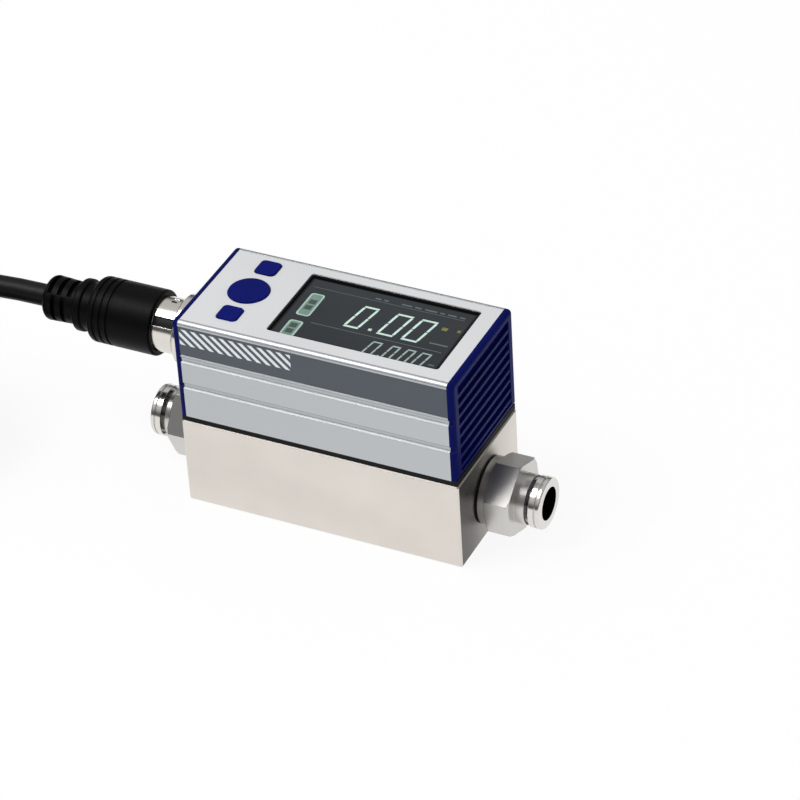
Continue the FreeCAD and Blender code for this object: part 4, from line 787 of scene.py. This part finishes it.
@dataclass
class SignalLead:
    """Signal cable, folded into its tied hank, with its moulded plug and stripped end."""

    diameter: float = 5.5 * MM
    exit: Point = (-79.0, 0.0, 37.6)
    route: tuple[Point, ...] = (
        (-107.0, 0.0, 37.6),
        (-127.0, -7.5, 30.65),
    )
    hank_centre: tuple[float, float] = (-134.0, -24.0)
    hank_run: float = 53.0
    fold_radius: float = 16.5
    fold_points: int = 9
    turns: int = 6
    spacing: float = 5.5
    lowest: float = 3.15
    tail: tuple[Point, ...] = (
        (-151.0, -37.4, 3.15),
        (-143.0, -35.2, 3.15),
        (-134.0, -35.1, 3.15),
    )
    length: float = 1.22
    round_steps: int = 8
    length_steps: int = 6

    def _fold(self, far: bool, height: float) -> list[Point]:
        """Points of the half circle at one end of the hank.

        Args:
            far: Whether it is the end away from the meter.
            height: Height of the strand's middle.

        Returns:
            The points in millimetres, in the cable's direction.
        """
        end = self.hank_centre[0] + (-1 if far else 1) * self.hank_run / 2
        first = 90.0 if far else -90.0
        step = 180.0 / (self.fold_points - 1)
        stretch = 1.0 / math.cos(math.radians(step / 2))
        points = []
        for index in range(self.fold_points):
            angle = math.radians(first + step * index)
            inside = 0 < index < self.fold_points - 1
            radius = self.fold_radius * (stretch if inside else 1.0)
            points.append((end + radius * math.cos(angle),
                           self.hank_centre[1] + radius * math.sin(angle), height))
        return points

    def _points(self) -> list[Point]:
        """Points of the whole cable from the plug to the stripped end.

        Returns:
            The points in millimetres.
        """
        points = [self.exit, *self.route]
        for turn in range(self.turns, 0, -1):
            height = self.lowest + self.spacing * (turn - 1)
            points += self._fold(True, height)
            if turn > 1:
                points += self._fold(False, height - self.spacing)
        return [*points, *self.tail]

    def cable(self) -> None:
        points = self._points()
        curve = bpy.data.curves.new("signal_lead", "CURVE")
        curve.dimensions = "3D"
        curve.bevel_depth = self.diameter / 2
        curve.bevel_resolution = self.round_steps
        curve.resolution_u = self.length_steps
        curve.use_fill_caps = True
        spline = curve.splines.new("NURBS")
        spline.points.add(len(points) - 1)
        for knot, (x, y, z) in zip(spline.points, points):
            knot.co = (x * MM, y * MM, z * MM, 1.0)
        spline.order_u = 3
        spline.use_endpoint_u = True
        curve.materials.append(JACKET.make())
        lead = bpy.data.objects.new("signal_lead", curve)
        bpy.context.scene.collection.objects.link(lead)
        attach(lead, METER)
        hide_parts("signal_cable", "cable_hank", "cable_tail")
        tuple(c * MM for c in self.exit)
        LOG.info("laid the cable with %d points", len(points))

    def build(self) -> None:
        """Dress the plug, the tie and the cores."""
        dress("plug_body", PLUG_BLACK)
        dress_all(("plug_shell", "socket_shell", "socket_nut"), NICKEL)
        dress_all(("plug_insert", "socket_insert"), BLACK)
        dress_all(("plug_pins", "socket_contacts"), GOLD)
        dress("hank_tie", TIE)
        low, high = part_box("cable_cores")
        dress("cable_cores", CoreColours("core_insulation", ((low.y + high.y) / 2,
                                                             (low.z + high.z) / 2)))


@dataclass
class WetPart:
    """Flow block, fittings and what they hold."""

    sides: tuple[str, str] = ("inlet", "outlet")

    def both(self, *stems: str) -> tuple[str, ...]:
        """Names of the nodes that each side has."""
        return tuple(f"{stem}_{side}" for stem in stems for side in self.sides)

    def build(self) -> None:
        """Dress the wetted nodes."""
        dress("flow_block", STEEL)
        dress_all(self.both("fitting_body"), FITTING_STEEL)
        dress_all(self.both("release_collet"), COLLET_STEEL)
        dress_all(self.both("support_ring", "claw_ring", "guide_ring", "flow_screen")
                  + ("laminar_element", "retaining_sleeve"), INNER_STEEL)
        dress_all(self.both("face_seal", "tube_seal") + ("sensor_seals", "base_gasket"), RUBBER)


@dataclass
class Housing:
    """Extruded housing with caps, label, side band, keys and the boards inside."""

    hatch_first: float = -38.04
    hatch_pitch: float = 2.475
    hatch_count: int = 14
    hatch_top: float = 50.4
    hatch_bottom: float = 46.05
    hatch_run: float = 4.8
    hatch_width: float = 1.2
    hatch_limits: tuple[float, float] = (-34.15, -5.2)
    print_thickness: float = 0.015 * MM

    @staticmethod
    def _cropped(outline: Corners, limit: float, keep_above: bool) -> Corners:
        """Crop a convex outline at a vertical line.

        Args:
            outline: Corners as pairs of X and Z.
            limit: X of the line.
            keep_above: Whether the side with the larger X stays.

        Returns:
            The corners that are left.
        """
        sign = 1.0 if keep_above else -1.0
        kept = []
        for (x0, z0), (x1, z1) in zip(outline, outline[1:] + outline[:1]):
            inside = sign * (x0 - limit) >= 0.0
            if inside:
                kept.append((x0, z0))
            if inside != (sign * (x1 - limit) >= 0.0):
                part = (limit - x0) / (x1 - x0)
                kept.append((limit, z0 + (z1 - z0) * part))
        return kept

    def hatch(self) -> None:
        """Print the slanted lines on the dark side band."""
        outlines = []
        left_limit, right_limit = self.hatch_limits
        for index in range(self.hatch_count):
            top = self.hatch_first + index * self.hatch_pitch - self.hatch_width / 2
            bottom = top + self.hatch_run
            outline = [(bottom, self.hatch_bottom), (bottom + self.hatch_width, self.hatch_bottom),
                       (top + self.hatch_width, self.hatch_top), (top, self.hatch_top)]
            outline = self._cropped(outline, left_limit, True)
            outline = self._cropped(outline, right_limit, False)
            if len(outline) > 2:
                outlines.append(outline)
        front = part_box("side_band_front")[0].y

        def place(u: float, v: float, height: float) -> Point:
            """Point on the band, with height measured out of it."""
            return (u * MM, front - height, v * MM)

        solid_plates("band_hatch", outlines, place, self.print_thickness, HATCH)

    def build(self) -> None:
        """Dress the housing's nodes and print the hatch."""
        dress("housing_profile", ALUMINIUM)
        dress_all(("end_cap_left", "end_cap_right"), CAP_BLUE)
        dress_all(("key_up", "key_enter", "key_down"), BLUE)
        dress("face_label", LABEL)
        dress("side_band_front", BAND)
        dress_all(("housing_screws", "sensor_screws"), SCREW_STEEL)
        dress_all(("sensor_manifold", "sensor_link", "board_link", "display_module",
                   "switch_up", "switch_enter", "switch_down", "plunger_up", "plunger_enter",
                   "plunger_down"), BLACK)
        dress_all(("sensor_board", "front_board", "main_board"), GREEN_BOARD)
        self.hatch()


def bar(x0: float, y0: float, x1: float, y1: float) -> Corners:
    """A plain rectangle."""
    return [(x0, y0), (x1, y0), (x1, y1), (x0, y1)]


def rounded(x0: float, y0: float, x1: float, y1: float, radius: float) -> Corners:
    """A rectangle with round corners.

    Args:
        x0: Left end.
        y0: Bottom.
        x1: Right end.
        y1: Top.
        radius: Radius of the corners.

    Returns:
        The corners, counter-clockwise.
    """
    steps = 4
    points = []
    for cx, cy, start in ((x1 - radius, y1 - radius, 0), (x0 + radius, y1 - radius, 90),
                          (x0 + radius, y0 + radius, 180), (x1 - radius, y0 + radius, 270)):
        for step in range(steps + 1):
            angle = math.radians(start + 90.0 / steps * step)
            points.append((cx + radius * math.cos(angle), cy + radius * math.sin(angle)))
    return points


@dataclass(frozen=True)
class FigureRow:
    """A row of slanted zeros with its decimal dot, in millimetres on the pane."""

    piece: str
    finish: Lit
    rows: tuple[float, float]
    stroke: float
    spans: tuple[tuple[float, float], ...]
    dot: tuple[float, float]
    dot_side: float
    slant: float = math.tan(math.radians(10.0))
    gap_share: float = 0.22

    def _zero(self, span: tuple[float, float]) -> list[Corners]:
        """The six lit bars of a slanted zero.

        Args:
            span: Left and right end.

        Returns:
            The outlines of the bars.
        """
        low, high = self.rows
        left, right = span[0], span[1] - self.slant * (high - low)
        stroke = self.stroke
        gap = stroke * self.gap_share
        middle = (low + high) / 2
        bars = [bar(left + gap, y, right - gap, y + stroke) for y in (low, high - stroke)]
        for x in (left, right - stroke):
            bars.append(bar(x, low + stroke + gap, x + stroke, middle - gap))
            bars.append(bar(x, middle + gap, x + stroke, high - stroke - gap))
        return [[(x + self.slant * (y - low), y) for x, y in corners] for corners in bars]

    def outlines(self) -> list[Corners]:
        """Outlines of all that is lit in the row."""
        x, y = self.dot
        return [*(corners for span in self.spans for corners in self._zero(span)),
                bar(x, y, x + self.dot_side, y + self.dot_side)]


@dataclass
class ReadOut:
    """Display pane with its lit figures, in millimetres on the pane."""

    figure_rows: tuple[FigureRow, ...] = (
        FigureRow("display_figures", FIGURES, rows=(-2.7, 6.4), stroke=0.62,
                  spans=((1.7, 7.3), (10.2, 16.1), (16.4, 22.3)),
                  dot=(8.0, -2.3), dot_side=0.85),
        FigureRow("display_small_figures", SMALL_FIGURES, rows=(-11.1, -5.6), stroke=0.45,
                  spans=((10.2, 13.8), (15.1, 18.4), (19.0, 22.3), (22.6, 26.2)),
                  dot=(14.2, -10.8), dot_side=0.6))
    shift: float = -0.4
    thickness: float = 0.02 * MM
    badge_x: tuple[float, float] = (-10.7, -7.1)
    badge_rows: tuple[tuple[float, float], ...] = ((-2.4, 6.8), (-10.9, -4.6))
    badge_rim: float = 0.45
    badge_corner: float = 0.8
    badge_inner_corner: float = 0.5
    mark_inset: float = 0.9
    mark_height: float = 1.7
    mark_steps: tuple[float, float] = (-2.0, 0.3)
    rules: tuple[tuple[float, float, float, float], ...] = (
        (-11.5, 9.05, 27.5, 9.2), (-5.6, -4.3, 27.6, -4.1), (23.4, -1.8, 28.0, -1.3),
        (26.8, -9.6, 28.2, -9.2))
    dash_rows: tuple[float, float] = (9.75, 10.25)
    dashes: tuple[tuple[float, float], ...] = (
        (4.2, 1.5), (6.4, 1.2), (11.0, 2.6), (14.4, 1.6), (17.0, 3.0), (20.8, 1.2), (22.8, 2.2),
        (25.8, 1.4))
    amber_marks: tuple[tuple[float, float, float, float], ...] = (
        (23.8, 3.9, 25.2, 5.1), (27.6, 4.3, 28.4, 5.3))

    def _light(self, name: str, outlines: list[Corners], finish: Finish, level: int = 0) -> None:
        """Light plates on the pane.

        Args:
            name: Name of the piece.
            outlines: Outlines of its plates.
            finish: Their finish.
            level: How many plates lie below them.
        """
        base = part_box("display_lens")[1].z + level * self.thickness

        def place(u: float, v: float, height: float) -> Point:
            """Point over the pane."""
            return (u * MM, (v + self.shift) * MM, base + height)

        solid_plates(name, outlines, place, self.thickness, finish)

    def badges(self) -> None:
        """Light the two badges as three plates on each other."""
        left, right = self.badge_x
        rim = self.badge_rim
        rims = [rounded(left, low, right, high, self.badge_corner)
                for low, high in self.badge_rows]
        fields = [rounded(left + rim, low + rim, right - rim, high - rim, self.badge_inner_corner)
                  for low, high in self.badge_rows]
        marks = []
        for low, high in self.badge_rows:
            for step in self.mark_steps:
                y = (low + high) / 2 + step
                marks.append(bar(left + self.mark_inset, y, right - self.mark_inset,
                                 y + self.mark_height))
        self._light("display_badge_rims", rims, BADGE_RIMS)
        self._light("display_badges", fields, BADGES, 1)
        self._light("display_badge_marks", marks, BADGE_MARKS, 2)

    def lines(self) -> None:
        """Light the thin rules, the dashes in place of words and the amber marks."""
        bottom, top = self.dash_rows
        faint = [bar(*rule) for rule in self.rules]
        faint += [bar(x, bottom, x + length, top) for x, length in self.dashes]
        self._light("display_lines", faint, FAINT)
        self._light("display_marks", [bar(*mark) for mark in self.amber_marks], AMBER)

    def build(self) -> None:
        """Dress the pane and its seal and light what it shows."""
        dress("display_lens", SCREEN)
        dress("display_seal", RUBBER)
        for row in self.figure_rows:
            self._light(row.piece, row.outlines(), row.finish)
        self.badges()
        self.lines()


def main() -> None:
    """Build every part of the scene in order."""
    logging.basicConfig(level=logging.INFO, format="%(message)s")
    studio = Studio()
    studio.camera()
    lead = SignalLead()
    lead.cable()
    studio.build()
    WetPart().build()
    Housing().build()
    ReadOut().build()
    lead.build()


if __name__ == "__main__":
    main()
